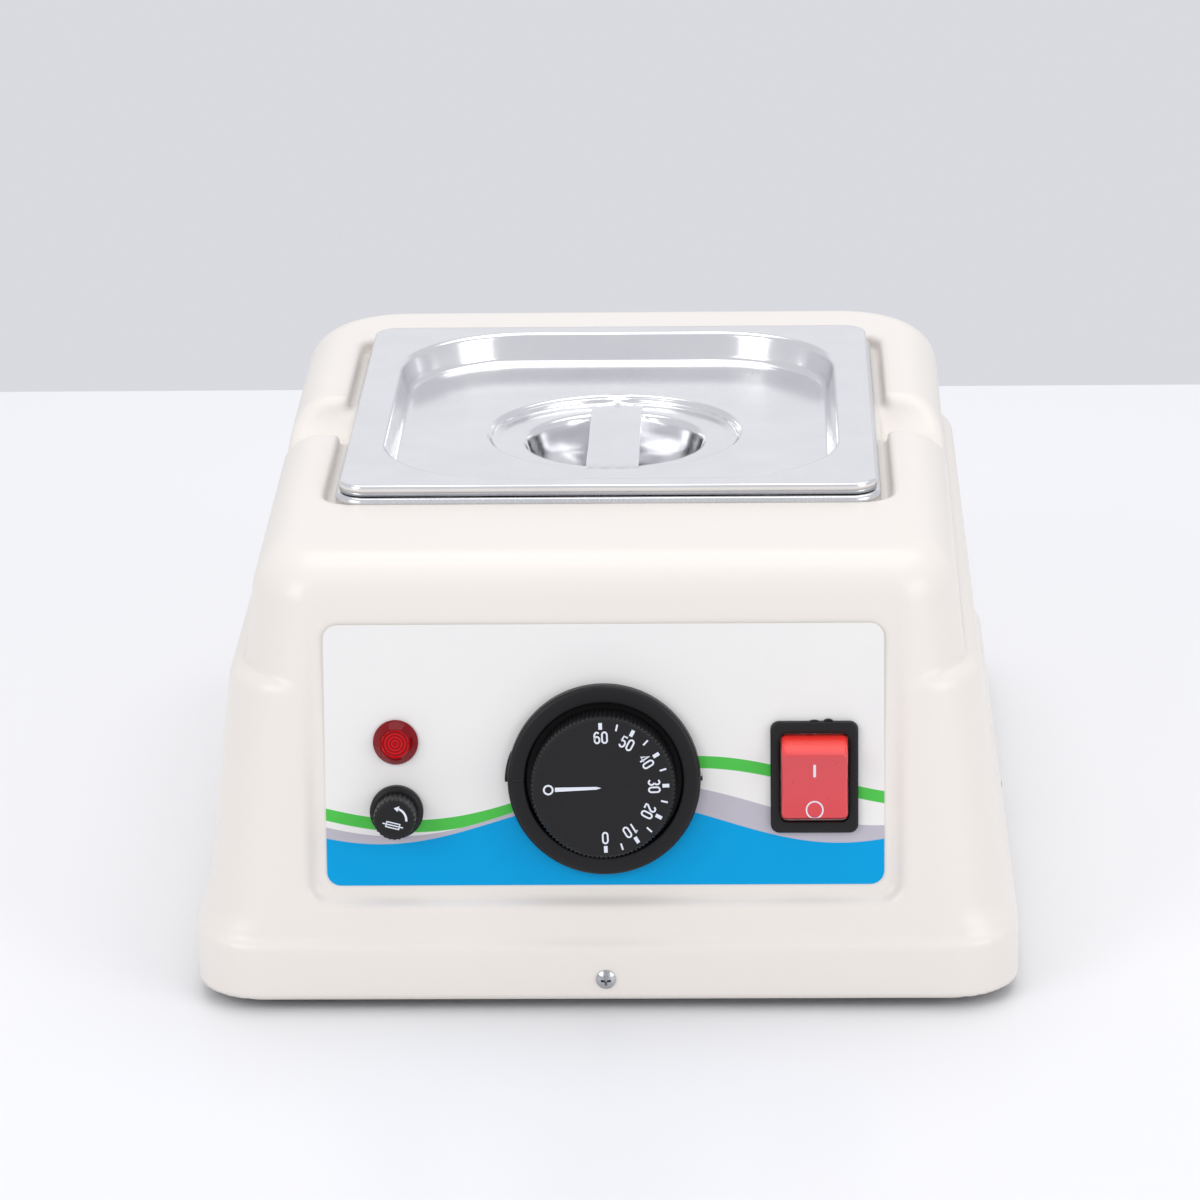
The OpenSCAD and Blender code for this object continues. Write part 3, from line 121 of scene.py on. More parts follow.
def skin(rings, close_first=True, close_last=True):
    """Points and faces of a closed skin through rings with equal counts."""
    count = len(rings[0])
    verts = np.concatenate([np.asarray(ring, float) for ring in rings])
    faces = []
    for i in range(len(rings) - 1):
        for j in range(count):
            k = (j + 1) % count
            faces.append((i * count + j, i * count + k, (i + 1) * count + k, (i + 1) * count + j))
    for closed, row, flip in ((close_first, 0, True), (close_last, len(rings) - 1, False)):
        if closed:
            middle = len(verts)
            verts = np.vstack([verts, verts[row * count:(row + 1) * count].mean(axis=0)])
            for j in range(count):
                k = (j + 1) % count
                pair = (row * count + k, row * count + j) if flip else (row * count + j, row * count + k)
                faces.append((*pair, middle))
    return verts, faces


def rounded_outline(x, y, r, z, steps=14):
    """A rounded rectangle round the pan's middle, counter-clockwise from above."""
    points = []
    for sx, sy, start in ((1, 1, 0), (-1, 1, 90), (-1, -1, 180), (1, -1, 270)):
        for k in range(steps + 1):
            a = math.radians(start + 90 * k / steps)
            points.append((sx * (x - r) + r * math.cos(a), PAN_Y + sy * (y - r) + r * math.sin(a), z))
    return points


def panel_frame(u=0.0, v=0.0, out=0.0):
    """The matrix that stands local z out of the panel, in millimetres."""
    s, c = math.sin(PANEL_LEAN), math.cos(PANEL_LEAN)
    turn = Matrix(((1, 0, 0), (0, s, -c), (0, c, s)))
    place = Vector((u, PANEL_Y + v * s - out * c, PANEL_Z + v * c + out * s))
    return Matrix.Translation(place) @ turn.to_4x4()


def placed(matrix, verts):
    """Points carried by a matrix."""
    m = np.array(matrix)
    return np.asarray(verts, float) @ m[:3, :3].T + m[:3, 3]


def turned(profile, segments, ripple=None):
    """A lathe form: profile of (radius, height), with an optional ripple of (row, angle) on the radius."""
    rings = []
    for row, (r, z) in enumerate(profile):
        ring = []
        for j in range(segments):
            a = 2 * math.pi * j / segments
            rr = r + (ripple(row, j) if ripple else 0.0)
            ring.append((rr * math.cos(a), rr * math.sin(a), z))
        rings.append(ring)
    return skin(rings)


def arc_points(cx, cz, r, a0, a1, steps):
    """Points of an arc about a centre, from one angle to another in degrees."""
    return [(cx + r * math.cos(math.radians(a0 + (a1 - a0) * k / steps)),
             cz + r * math.sin(math.radians(a0 + (a1 - a0) * k / steps))) for k in range(steps + 1)]


# The casing, as one smooth form


def softly(a, b, r):
    """The larger of two distances, rounded with radius r where they meet."""
    return np.minimum(np.maximum(a, b), -r) + np.hypot(np.maximum(a + r, 0), np.maximum(b + r, 0))


def box_walls(x, y, half_x, front, rear, front_r, rear_r):
    """Distance to upright walls round a rounded rectangle; every measure may change with height."""
    middle, half_y = (front + rear) / 2, (rear - front) / 2
    r = np.where(y < middle, front_r, rear_r)
    qx = np.abs(x) - half_x + r
    qy = np.abs(y - middle) - half_y + r
    return np.minimum(np.maximum(qx, qy), 0) + np.hypot(np.maximum(qx, 0), np.maximum(qy, 0)) - r


def wall_insets(lean, top, shoulder, steepest, hollow):
    """Inset of the outer wall over height: upright band, round shoulder, hollow sweep, then a straight lean."""
    turn, low = math.radians(steepest), math.radians(lean)
    arc = [turn * k / 9 for k in range(1, 10)]
    points = [(-50, 0), (top, 0)]
    points += [(top + shoulder * math.sin(a), shoulder * (1 - math.cos(a))) for a in arc]
    z0, i0 = points[-1]
    for k in range(1, 9):
        a = turn + (low - turn) * k / 8
        points.append((z0 + hollow * (math.sin(turn) - math.sin(a)), i0 + hollow * (math.cos(a) - math.cos(turn))))
    z1, i1 = points[-1]
    points.append((z1 + 200, i1 + 200 * math.tan(low)))
    return np.array(points).T


SIDE_LINE = wall_insets(lean=6.2, top=20.0, shoulder=8.0, steepest=36, hollow=12.0)
FRONT_LINE = wall_insets(lean=10.6, top=18.8, shoulder=2.4, steepest=61, hollow=2.0)
# The casing's corners from above, and the ledge round its sides and rear
FRONT_CORNER, LOWER_REAR_CORNER, UPPER_REAR_CORNER = 20.0, 32.0, 31.0
LEDGE_Z, LEDGE_SIDE, LEDGE_REAR, LEDGE_NARROWING = 97.0, 4.7, 4.0, 2.0
# Let into it: the panel's pocket, the pan's seat, the finger notches, the tank's mouth and the inlet
POCKET_X, POCKET_BELOW, POCKET_CORNER = 84.75, 42.7, 6.0
SEAT_X, SEAT_FRONT, SEAT_REAR, SEAT_CORNER = 84.3, 88.8, 91.3, 9.8
NOTCH_R, NOTCH_Z, NOTCH_BEHIND, NOTCH_X = 22.0, 141.0, 2.7, 82.65
TANK_MOUTH_X, TANK_MOUTH_Y, TANK_MOUTH_R = 73.2, 83.2, 43.0
INLET_Z, INLET_Y = 58.0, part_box("inlet_socket")[1][1] / MM - 2.6
INLET_X, INLET_UP, INLET_CORNER = 28.0, 15.0, 3.0
SOCKET_X, SOCKET_UP, SOCKET_L = 13.6, 9.9, 40.0


def carved(form, walls, floor, inner, edge):
    """A form with a pocket taken out: rounded where its walls meet its floor, and round its edge."""
    return softly(form, -softly(walls, floor, inner), edge)


def casing_skin(x, y, z):
    """Distance outside the casing's outer skin, below nought inside it."""
    side = np.interp(z, *SIDE_LINE)
    front = FRONT + np.interp(z, *FRONT_LINE)
    lower = box_walls(x, y, CASE_W / 2 - side, front, REAR - side, FRONT_CORNER, LOWER_REAR_CORNER)
    lower = softly(lower, z - LEDGE_Z, 5.0)
    narrowing = LEDGE_NARROWING * (y - FRONT) / CASE_D
    upper = box_walls(x, y, CASE_W / 2 - side - LEDGE_SIDE + narrowing, front, REAR - side - LEDGE_REAR,
                      FRONT_CORNER, UPPER_REAR_CORNER)
    upper = softly(upper, z - DECK, 12.0)
    form = np.minimum(lower, upper)
    s, c = math.sin(PANEL_LEAN), math.cos(PANEL_LEAN)
    v = (y - PANEL_Y) * s + (z - PANEL_Z) * c
    out = -(y - PANEL_Y) * c + (z - PANEL_Z) * s
    qu, qv = np.abs(x) - POCKET_X + POCKET_CORNER, -v - POCKET_BELOW + POCKET_CORNER
    pocket = np.minimum(np.maximum(qu, qv), 0) + np.hypot(np.maximum(qu, 0), np.maximum(qv, 0)) - POCKET_CORNER
    form = carved(form, pocket, -out, inner=2.5, edge=2.5)
    seat = box_walls(x, y, SEAT_X, PAN_Y - SEAT_FRONT, PAN_Y + SEAT_REAR, SEAT_CORNER, SEAT_CORNER)
    form = carved(form, seat, SEAT - z, inner=0.8, edge=1.8)
    notch = np.hypot(y - PAN_Y - NOTCH_BEHIND, z - NOTCH_Z) - NOTCH_R
    form = carved(form, notch, NOTCH_X - np.abs(x), inner=1.0, edge=3.0)
    inlet = box_walls(x, z, INLET_X, INLET_Z - INLET_UP, INLET_Z + INLET_UP, INLET_CORNER, INLET_CORNER)
    return carved(form, inlet, INLET_Y - y, inner=0.6, edge=1.0)


def casing_form(x, y, z):
    """The casing as a shell with an even wall, open below and at the tank's mouth."""
    sharp = 0.3
    skin_out = casing_skin(x, y, z)
    shell = softly(skin_out, -(skin_out + WALL), sharp)
    mouth = box_walls(x, y, TANK_MOUTH_X, PAN_Y - TANK_MOUTH_Y, PAN_Y + TANK_MOUTH_Y, TANK_MOUTH_R, TANK_MOUTH_R)
    shell = softly(shell, -mouth, 0.5)
    socket = box_walls(x, z, SOCKET_X, INLET_Z - SOCKET_UP, INLET_Z + SOCKET_UP, 0.5, 0.5)
    shell = carved(shell, socket, INLET_Y - SOCKET_L - y, inner=0.5, edge=sharp)
    return softly(shell, BOTTOM - z, 1.0)


def form_surface(form, low, high, cell):
    """The zero level of a form as a quad mesh: one point in each cell that it crosses, evened out and drawn on."""
    axes = [np.arange(a, b + cell, cell) for a, b in zip(low, high)]
    value = form(*np.meshgrid(*axes, indexing="ij"))
    inside = value < 0
    shape = tuple(n - 1 for n in value.shape)
    corner = [(i, j, k) for i in (0, 1) for j in (0, 1) for k in (0, 1)]

    def at(array, offset):
        return array[tuple(slice(o, o + n) for o, n in zip(offset, shape))]

    filled = sum(at(inside, c).astype(np.int8) for c in corner)
    cells = np.argwhere((filled > 0) & (filled < 8))
    index = np.full(shape, -1, np.int64)
    index[tuple(cells.T)] = np.arange(len(cells))
    total, count = np.zeros((len(cells), 3)), np.zeros(len(cells))
    for a in corner:
        for axis in range(3):
            if a[axis]:
                continue
            b = tuple(1 if n == axis else a[n] for n in range(3))
            va = value[tuple((cells + a).T)]
            vb = value[tuple((cells + b).T)]
            cut = (va < 0) != (vb < 0)
            share = np.where(cut, va / np.where(cut, va - vb, 1), 0)
            point = cells + np.array(a, float)
            point[:, axis] += share
            total += point * cut[:, None]
            count += cut
    verts = total / count[:, None] * cell + np.array([a[0] for a in axes])
    faces = []
    for axis in range(3):
        p, q = (axis + 1) % 3, (axis + 2) % 3
        low_side = [slice(None)] * 3
        high_side = [slice(None)] * 3
        low_side[axis], high_side[axis] = slice(0, -1), slice(1, None)
        change = inside[tuple(low_side)] != inside[tuple(high_side)]
        where = np.argwhere(change)
        where = where[(where[:, p] > 0) & (where[:, q] > 0) & (where[:, p] < value.shape[p] - 1)
                      & (where[:, q] < value.shape[q] - 1)]
        ring = []
        for dp, dq in ((1, 1), (0, 1), (0, 0), (1, 0)):
            spot = where.copy()
            spot[:, p] -= dp
            spot[:, q] -= dq
            ring.append(index[tuple(spot.T)])
        quads = np.stack(ring, axis=1)
        outward = inside[tuple(where.T)]
        quads[~outward] = quads[~outward][:, ::-1]
        faces.append(quads)
    faces = np.concatenate(faces)
    one, other = np.concatenate([faces[:, [i, j]] for i in range(4) for j in ((i + 1) % 4, (i + 3) % 4)]).T
    degree = np.bincount(one, minlength=len(verts))
    for lap in range(7):
        if lap < 5:
            around = [np.bincount(one, verts[other, n], len(verts)) / degree for n in range(3)]
            verts = (verts + np.stack(around, axis=1)) / 2
        x, y, z = verts.T
        d, h = form(x, y, z), 0.02
        slope = np.stack([form(x + h, y, z) - form(x - h, y, z), form(x, y + h, z) - form(x, y - h, z),
                          form(x, y, z + h) - form(x, y, z - h)], axis=1) / (2 * h)
        step = slope * (d / np.maximum((slope ** 2).sum(axis=1), 0.3))[:, None]
        reach = np.linalg.norm(step, axis=1, keepdims=True)
        verts = verts - step * np.minimum(1, 0.5 * cell / np.maximum(reach, 1e-9))
    return verts, faces


def make_casing():
    """The casing's form, meshed with a cell fine enough for its edges."""
    room = 3
    low = (-CASE_W / 2 - room, FRONT - room, BOTTOM - room)
    high = (CASE_W / 2 + room, REAR + room, DECK + room)
    verts, faces = form_surface(casing_form, low, high, 1.4)
    return new_piece("casing_moulding", verts, faces, "melter", replaces=["casing"])


def make_base_screws():
    """The four screws of the base band: a low domed head with a cross recess, on its shank."""
    radius, rise, shank_r, shank_l = 2.85, 1.6, 1.75, 9.0

    def dome(x, y):
        r = math.hypot(x, y) / radius
        across, along = sorted((abs(x), abs(y)))
        recess = max(0.0, min(1.0, (0.36 - across) / 0.1)) * max(0.0, min(1.0, (1.45 - along) / 0.12))
        return rise - 1.15 * r * r - 1.3 * recess

    segments = 96
    angles = [2 * math.pi * j / segments for j in range(segments)]
    circle = [(math.cos(a), math.sin(a)) for a in angles]
    rings = [[(r * c, r * s, z) for c, s in circle]
             for r, z in ((shank_r, -shank_l), (shank_r, 0), (radius, 0), (radius, 0.3))]
    dome_radii = (2.8, 2.6, 2.3, 2.0, 1.75, 1.6, 1.5, 1.42, 1.34, 1.2, 1.0, 0.85, 0.7, 0.58, 0.48, 0.4,
                  0.25, 0.1)
    rings += [[(r * c, r * s, dome(r * c, r * s)) for c, s in circle] for r in dome_radii]
    verts, faces = skin(rings)
    side, height = CASE_W / 2, BOTTOM + 6.5
    spots = [((0, FRONT, height), (0, -1, 0)), ((0, REAR, height), (0, 1, 0)),
             ((side, MIDDLE_Y, height), (1, 0, 0)), ((-side, MIDDLE_Y, height), (-1, 0, 0))]
    all_verts, all_faces = [], []
    for place, out in spots:
        turn = Vector(out).to_track_quat("Z", "Y").to_matrix().to_4x4()
        all_faces += [tuple(n + len(all_verts) * len(verts) for n in face) for face in faces]
        all_verts.append(placed(Matrix.Translation(Vector(place)) @ turn, verts))
    piece = new_piece("base_screw_heads", np.concatenate(all_verts), all_faces, "melter", replaces=["base_screws"])
    return crisp(piece, 30)


# The food pan and its lid

MOUTH_X, MOUTH_Y, MOUTH_R = 69.5, 79.5, 39.5
SHEET = 0.8


def make_food_pan():
    """A drawn pan: the wall outside, the rim with its turned-down edge, the bead, then the wall inside."""
    def wall(z, margin):
        less = 9.5 * (BEAD - z) / 100
        return rounded_outline(MOUTH_X - less + margin, MOUTH_Y - less + margin, MOUTH_R - less + margin, z)

    def rim(inset, z):
        return rounded_outline(81 - inset, 88 - inset, 9 - inset, z)

    base = BEAD - 100
    outside = [wall(base + 12 * (1 - math.cos(a)), SHEET - 12 * (1 - math.sin(a)))
               for a in np.radians(np.linspace(0, 90, 10))]
    outside = [rounded_outline(20, 30, 12, base)] + outside
    inside = [wall(base + SHEET + 11.2 * (1 - math.cos(a)), -11.2 * (1 - math.sin(a)))
              for a in np.radians(np.linspace(90, 0, 10))]
    inside.append(rounded_outline(20, 30, 12, base + SHEET))
    under = [wall(RIM - 2, SHEET), wall(RIM - SHEET, SHEET + 0.2), wall(BEAD - SHEET - 0.4, SHEET + 0.6),
             wall(BEAD - SHEET, SHEET + 1.2), wall(BEAD - SHEET, 3.6), wall(BEAD - SHEET - 0.5, 4.2),
             wall(RIM - SHEET + 0.5, 4.8), wall(RIM - SHEET, 5.4), rim(2.2, RIM - SHEET),
             rim(1.3, RIM - SHEET - 0.3), rim(SHEET, RIM - SHEET - 1), rim(SHEET, SEAT)]
    edge = [rim(0, SEAT), rim(0, RIM - 1.8)] + [rim(x, z) for x, z in arc_points(1.6, RIM - 1.6, 1.6, 170, 95, 6)]
    over = [wall(RIM, 6.6), wall(RIM + 0.25, 5.7), wall(RIM + 1.2, 5.1), wall(BEAD - 0.8, 4.6),
            wall(BEAD - 0.15, 4.1), wall(BEAD, 3.4)]
    over += [wall(z, x) for x, z in arc_points(1.5, BEAD - 1.5, 1.5, 90, 180, 6)]
    verts, faces = skin(outside + under + edge + over + [wall(BEAD - 6, 0), wall(60, 0)] + inside)
    return new_piece("food_pan_drawn", verts, faces, "pan", replaces=["food_pan"])


def make_lid():
    """A pressed lid: turned edge, flat border, sunken field, step, and a round finger bowl."""
    def border(inset, z):
        return rounded_outline(79.7 - inset, 86.7 - inset, 7.7 - inset, z)

    def field(inset, z):
        return rounded_outline(68.0 - inset, 78.0 - inset, 38.0 - inset, z)

    def disc(r, z):
        return rounded_outline(r, r, r, z)

    f, g = PLATE - 9.5, PLATE - 12.2
    bowl = [(28.9, g - 0.05), (28.2, g - 0.35), (27.7, g - 1.0), (27.2, g - 2.2), (26.3, g - 4.6), (24.8, g - 7.4),
            (22.5, g - 9.8), (19.2, g - 11.8), (15.0, g - 13.1), (10.0, g - 13.8), (5.0, g - 14.0)]
    above = [border(0, PLATE - 3.1), border(0, PLATE - 1.0)]
    above += [border(x, z) for x, z in arc_points(0.9, PLATE - 0.9, 0.9, 175, 95, 6)]
    above += [border(2.0, PLATE), field(-3.2, PLATE)]
    above += [field(x - 2.2, z) for x, z in arc_points(0, PLATE - 2.0, 2.0, 85, 12, 7)]
    above += [field(x, z) for x, z in arc_points(3.9, f + 3.0, 3.0, 192, 268, 8)]
    above += [field(6.0, f + 0.02), field(12.0, f), disc(44, f), disc(41.0, f - 0.02)]
    above += [disc(r, z) for r, z in arc_points(40.4, f - 1.4, 1.4, 88, 165, 6)]
    above += [disc(r, z) for r, z in arc_points(37.2, g + 1.3, 1.3, 10, -80, 5)]
    above += [disc(36.2, g), disc(30.2, g)] + [disc(r, z) for r, z in bowl]
    below = [disc(r + (SHEET if r < 28.5 else 0.4), z - SHEET) for r, z in reversed(bowl)]
    below += [disc(36.8, g - SHEET), disc(40.8, f - SHEET - 1.0), disc(42.0, f - SHEET), field(6.0, f - SHEET),
              field(0.6, f - SHEET + 1.5), field(-SHEET, PLATE - 3.6), field(-2.0, PLATE - SHEET - 0.3),
              field(-3.4, PLATE - SHEET), border(1.8, PLATE - SHEET), border(0.9, PLATE - 1.2),
              border(0.8, PLATE - 3.1)]
    verts, faces = skin(below + above)
    return new_piece("lid_pressing", verts, faces, "lid", replaces=["lid"])


def make_strap():
    """The strap across the bowl: a flat strip with rounded edges, softly set down and pinched at both ends."""
    length, width, top = 70.0, 16.0, PLATE - 12.2
    rows, across = 36, 12
    rings = []
    for i in range(rows + 1):
        t = i / rows
        y = PAN_Y - length / 2 + length * t
        rise = 0.35 * math.sin(math.pi * t) ** 0.6
        end = min(t, 1 - t) * length
        thin = 0.25 * math.exp(-(end / 0.8) ** 2)
        ring = []
        for k in range(across + 1):
            x = -width / 2 + 0.35 + (width - 0.7) * k / across
            dent = 0.5 * math.exp(-((end - 2.2) / 0.9) ** 2) * max(0, math.cos(x * math.pi / 2.6)) ** 4
            ring.append((x, y, top + 1.2 + rise - thin - dent))
        ring.append((width / 2 - 0.1, y, top + 1.08 + rise - thin))
        ring.append((width / 2, y, top + 0.8 + rise))
        ring.append((width / 2, y, top + rise * 0.9))
        ring += [(width / 2 - 0.35 - (width - 0.7) * k / across, y, top + rise * 0.9) for k in range(across + 1)]
        ring.append((-width / 2, y, top + rise * 0.9))
        ring.append((-width / 2, y, top + 0.8 + rise))
        ring.append((-width / 2 + 0.1, y, top + 1.08 + rise - thin))
        rings.append(ring)
    verts, faces = skin(rings)
    return crisp(new_piece("strap_handle", verts, faces, "lid", replaces=["lid_handle"]), 40)


# The controls

# Places on the panel: the knob's height on its middle line, then across and up for the others
KNOB_V = -6.7
LAMP = (-59.8, 4.1)
FUSE = (-59.8, -16.2)
SWITCH = (60.25, -6.5)
OVERLAY_T = 0.4
KNOB_TOP, CAP_TOP = 14.0, 12.5


def make_knob():
    """The dial: a flat satin face and a finely knurled side with a bevelled edge."""
    r, top, low, hub_r, hollow_r, face_t = 20.7, KNOB_TOP, 2.2, 5.5, 17.0, 2.4
    profile = [(hollow_r, low), (17.6, low), (r - 0.45, low), (r, low + 0.5), (r, low + 3), (r, top - 3),
               (r, top - 0.75), (r - 0.25, top - 0.3), (r - 0.55, top - 0.06), (r - 0.8, top), (18.0, top),
               (10.0, top)]
    inner = [(hub_r, 4.2), (hub_r, top - face_t), (hollow_r, top - face_t)]

    def knurl(row, j):
        depth = {6: 0.2, 7: 0.55, 8: 0.55, 9: 0.55, 10: 0.55, 11: 0.45, 12: 0.25}.get(row, 0)
        return -depth * (0.5 + 0.5 * math.cos(2 * math.pi * j / 4))

    verts, faces = turned(inner + profile, 400, knurl)
    verts = placed(panel_frame(0, KNOB_V), verts)
    return crisp(new_piece("knob_dial", verts, faces, "knob", replaces=["knob"]), 50)


def make_knob_bezel():
    """The ring round the knob: a rounded shoulder, a flat face and a floor, with its index rib and two nibs."""
    base = OVERLAY_T
    profile = [(5.1, base), (27.6, base), (27.7, base + 0.1), (27.7, 3.2)]
    profile += arc_points(26.3, 3.2, 1.4, 5, 85, 8)
    profile += [(25.0, 4.62), (23.6, 4.6)] + arc_points(23.1, 4.0, 0.6, 90, 175, 5)
    profile += [(22.5, 2.0), (22.3, 1.7), (21.8, 1.6), (5.1, 1.6)]
    verts, faces = turned(profile, 160)
    verts = list(map(tuple, verts))
    # index rib across the ring's face, the rib along its outer side, and the small nib on the right
    for x0, x1, y0, y1, z0, z1 in ((-27.4, -22.9, -0.35, 0.35, 4.2, 4.86), (27.3, 28.2, -0.5, 0.5, base, 2.4),
                                   (-28.5, -27.3, -0.6, 0.9, base, 2.6)):
        at, bevel = len(verts), 0.15
        for z, b in ((z0, 0), (z1 - bevel, 0), (z1, bevel)):
            verts += [(x0 + b, y0 + b, z), (x1 - b, y0 + b, z), (x1 - b, y1 - b, z), (x0 + b, y1 - b, z)]
        for layer in (0, 4):
            for j in range(4):
                k = (j + 1) % 4
                faces.append((at + layer + j, at + layer + k, at + layer + 4 + k, at + layer + 4 + j))
        faces.append((at + 8, at + 9, at + 10, at + 11))
        faces.append((at + 3, at + 2, at + 1, at))
    at = len(verts)
    steps = 14
    for k in range(steps + 1):
        a = math.radians(180 - 17 * k / steps)
        swell = 0.8 * (1 - k / steps) ** 0.5 + 0.15
        for r, z in ((27.4, base), (27.6 + swell, base), (27.6 + swell, 2.2), (27.4, 2.6)):
            verts.append((r * math.cos(a), r * math.sin(a), z))
    for k in range(steps):
        for j in range(4):
            m = (j + 1) % 4
            faces.append((at + 4 * k + j, at + 4 * k + m, at + 4 * k + 4 + m, at + 4 * k + 4 + j))
    faces.append((at, at + 3, at + 2, at + 1))
    faces.append((at + 4 * steps, at + 4 * steps + 1, at + 4 * steps + 2, at + 4 * steps + 3))
    verts = placed(panel_frame(0, KNOB_V), verts)
    ring = new_piece("knob_bezel_ring", verts, faces, "melter", replaces=["knob_bezel"])
    return crisp(ring, 40)


def flat_print(name, outlines, matrix, body, thick=0.03):
    """Printed marks: each outline a ring of (x, y) with its holes, raised by the thickness of the ink."""
    verts, faces = [], []
    for outer in outlines:
        at, n = len(verts), len(outer)
        verts += [(x, y, 0) for x, y in outer] + [(x, y, thick) for x, y in outer]
        faces += [(at + j, at + (j + 1) % n, at + n + (j + 1) % n, at + n + j) for j in range(n)]
        faces.append(tuple(range(at + n, at + 2 * n)))
        faces.append(tuple(range(at + n - 1, at - 1, -1)))
    return new_piece(name, placed(matrix, verts), faces, body, smooth=False)


def ring_marks(cx, cy, r, width, steps=40):
    """A circular line as small four-sided marks."""
    marks = []
    for k in range(steps):
        a, b = (math.radians(360 * n / steps) for n in (k, k + 1))
        inner, outer = r - width / 2, r + width / 2
        marks.append([(cx + rr * math.cos(t), cy + rr * math.sin(t))
                      for rr, t in ((inner, a), (outer, a), (outer, b), (inner, b))])
    return marks


def bar(cx, cy, angle, along, across):
    """A straight mark with its long side along an angle."""
    c, s = math.cos(math.radians(angle)), math.sin(math.radians(angle))
    return [(cx + p * c - q * s, cy + p * s + q * c)
            for p, q in ((-along / 2, -across / 2), (along / 2, -across / 2), (along / 2, across / 2),
                         (-along / 2, across / 2))]


def stroke(points, width):
    """A line of even width through points, as four-sided marks that share their ends."""
    sides = []
    n = len(points)
    for i, (x, y) in enumerate(points):
        ax, ay = points[max(i - 1, 0)]
        bx, by = points[min(i + 1, n - 1)]
        length = math.hypot(bx - ax, by - ay) or 1
        nx, ny = -(by - ay) / length * width / 2, (bx - ax) / length * width / 2
        sides.append(((x + nx, y + ny), (x - nx, y - ny)))
    return [[a, b, d, c] for (a, b), (c, d) in zip(sides, sides[1:])]


def oval(cx, cy, rx, ry, start, end, steps=14):
    """Points along a part of an oval, for the round strokes of a figure."""
    return [(cx + rx * math.cos(math.radians(start + (end - start) * k / steps)),
             cy + ry * math.sin(math.radians(start + (end - start) * k / steps))) for k in range(steps + 1)]


# Narrow dial figures in a cell 1.0 wide and 2.0 high, each a list of strokes.
FIGURES = {
    "0": [oval(0.5, 1.5, 0.5, 0.5, 0, 180) + [(0, 0.5)] + oval(0.5, 0.5, 0.5, 0.5, 180, 360) + [(1, 1.5)]],
    "1": [[(0.1, 1.6), (0.55, 2.0), (0.55, 0.0)]],
    "2": [oval(0.5, 1.5, 0.5, 0.5, 170, -30) + [(0.05, 0.3), (0.0, 0.0), (1.0, 0.0)]],
    "3": [oval(0.48, 1.52, 0.48, 0.48, 150, -75), oval(0.5, 0.52, 0.5, 0.52, 78, -155)],
    "4": [[(0.75, 0.0), (0.75, 2.0), (0.0, 0.55), (1.05, 0.55)]],
    "5": [[(0.95, 2.0), (0.12, 2.0), (0.05, 1.1)] + oval(0.48, 0.62, 0.52, 0.62, 130, -155)],
    "6": [[(0.85, 1.75)] + oval(0.5, 1.4, 0.5, 0.6, 60, 180) + [(0, 0.55)],
          oval(0.5, 0.6, 0.5, 0.6, 0, 360, 22)],
}


def figures(text, radius, angle, height=3.1, width=1.4, gap=0.75, line=0.5):
    """Strokes of a number set with its top outward at a place on the dial."""
    scale_x, scale_y = width, height / 2
    total = len(text) * width + (len(text) - 1) * gap
    turn = math.radians(angle - 90)
    marks = []
    for i, letter in enumerate(text):
        left = -total / 2 + i * (width + gap)
        for line_points in FIGURES[letter]:
            points = []
            c, s = math.cos(turn), math.sin(turn)
            for x, y in line_points:
                px, py = left + x * scale_x, (y - 1) * scale_y + radius
                points.append((px * c - py * s, px * s + py * c))
            marks += stroke(points, line)
    return marks


def make_dial_print():
    """The dial's white print: bars and figures from 0 to 60, and the off mark with its pointer."""
    bar_r, figure_r, ring_r = 17.9, 14.6, 15.6
    first, step, off_angle = -88, 15, 182
    marks = []
    for i in range(13):
        angle = first + step * i
        c, s = math.cos(math.radians(angle)), math.sin(math.radians(angle))
        if i % 2 == 0:
            marks.append(bar(bar_r * c, bar_r * s, angle, 1.95, 1.05))
            marks += figures(str(i // 2 * 10), figure_r, angle)
        else:
            marks.append(bar(bar_r * c, bar_r * s, angle, 1.95, 0.5))
    c, s = math.cos(math.radians(off_angle)), math.sin(math.radians(off_angle))
    marks += ring_marks(ring_r * c, ring_r * s, 1.25, 0.52)
    pointer = [(13.7, -0.62), (13.7, 0.62), (1.9, 0.4), (0.5, 0.0), (1.9, -0.4)]
    marks.append([(r * c - q * s, r * s + q * c) for r, q in pointer][::-1])
    marks = [ring if signed(ring) > 0 else ring[::-1] for ring in marks]
    return flat_print("dial_print", marks, panel_frame(0, KNOB_V, KNOB_TOP), "knob")


def signed(ring):
    """Area of a flat ring, above nought when it runs counter-clockwise."""
    return sum(a[0] * b[1] - b[0] * a[1] for a, b in zip(ring, ring[1:] + ring[:1])) / 2


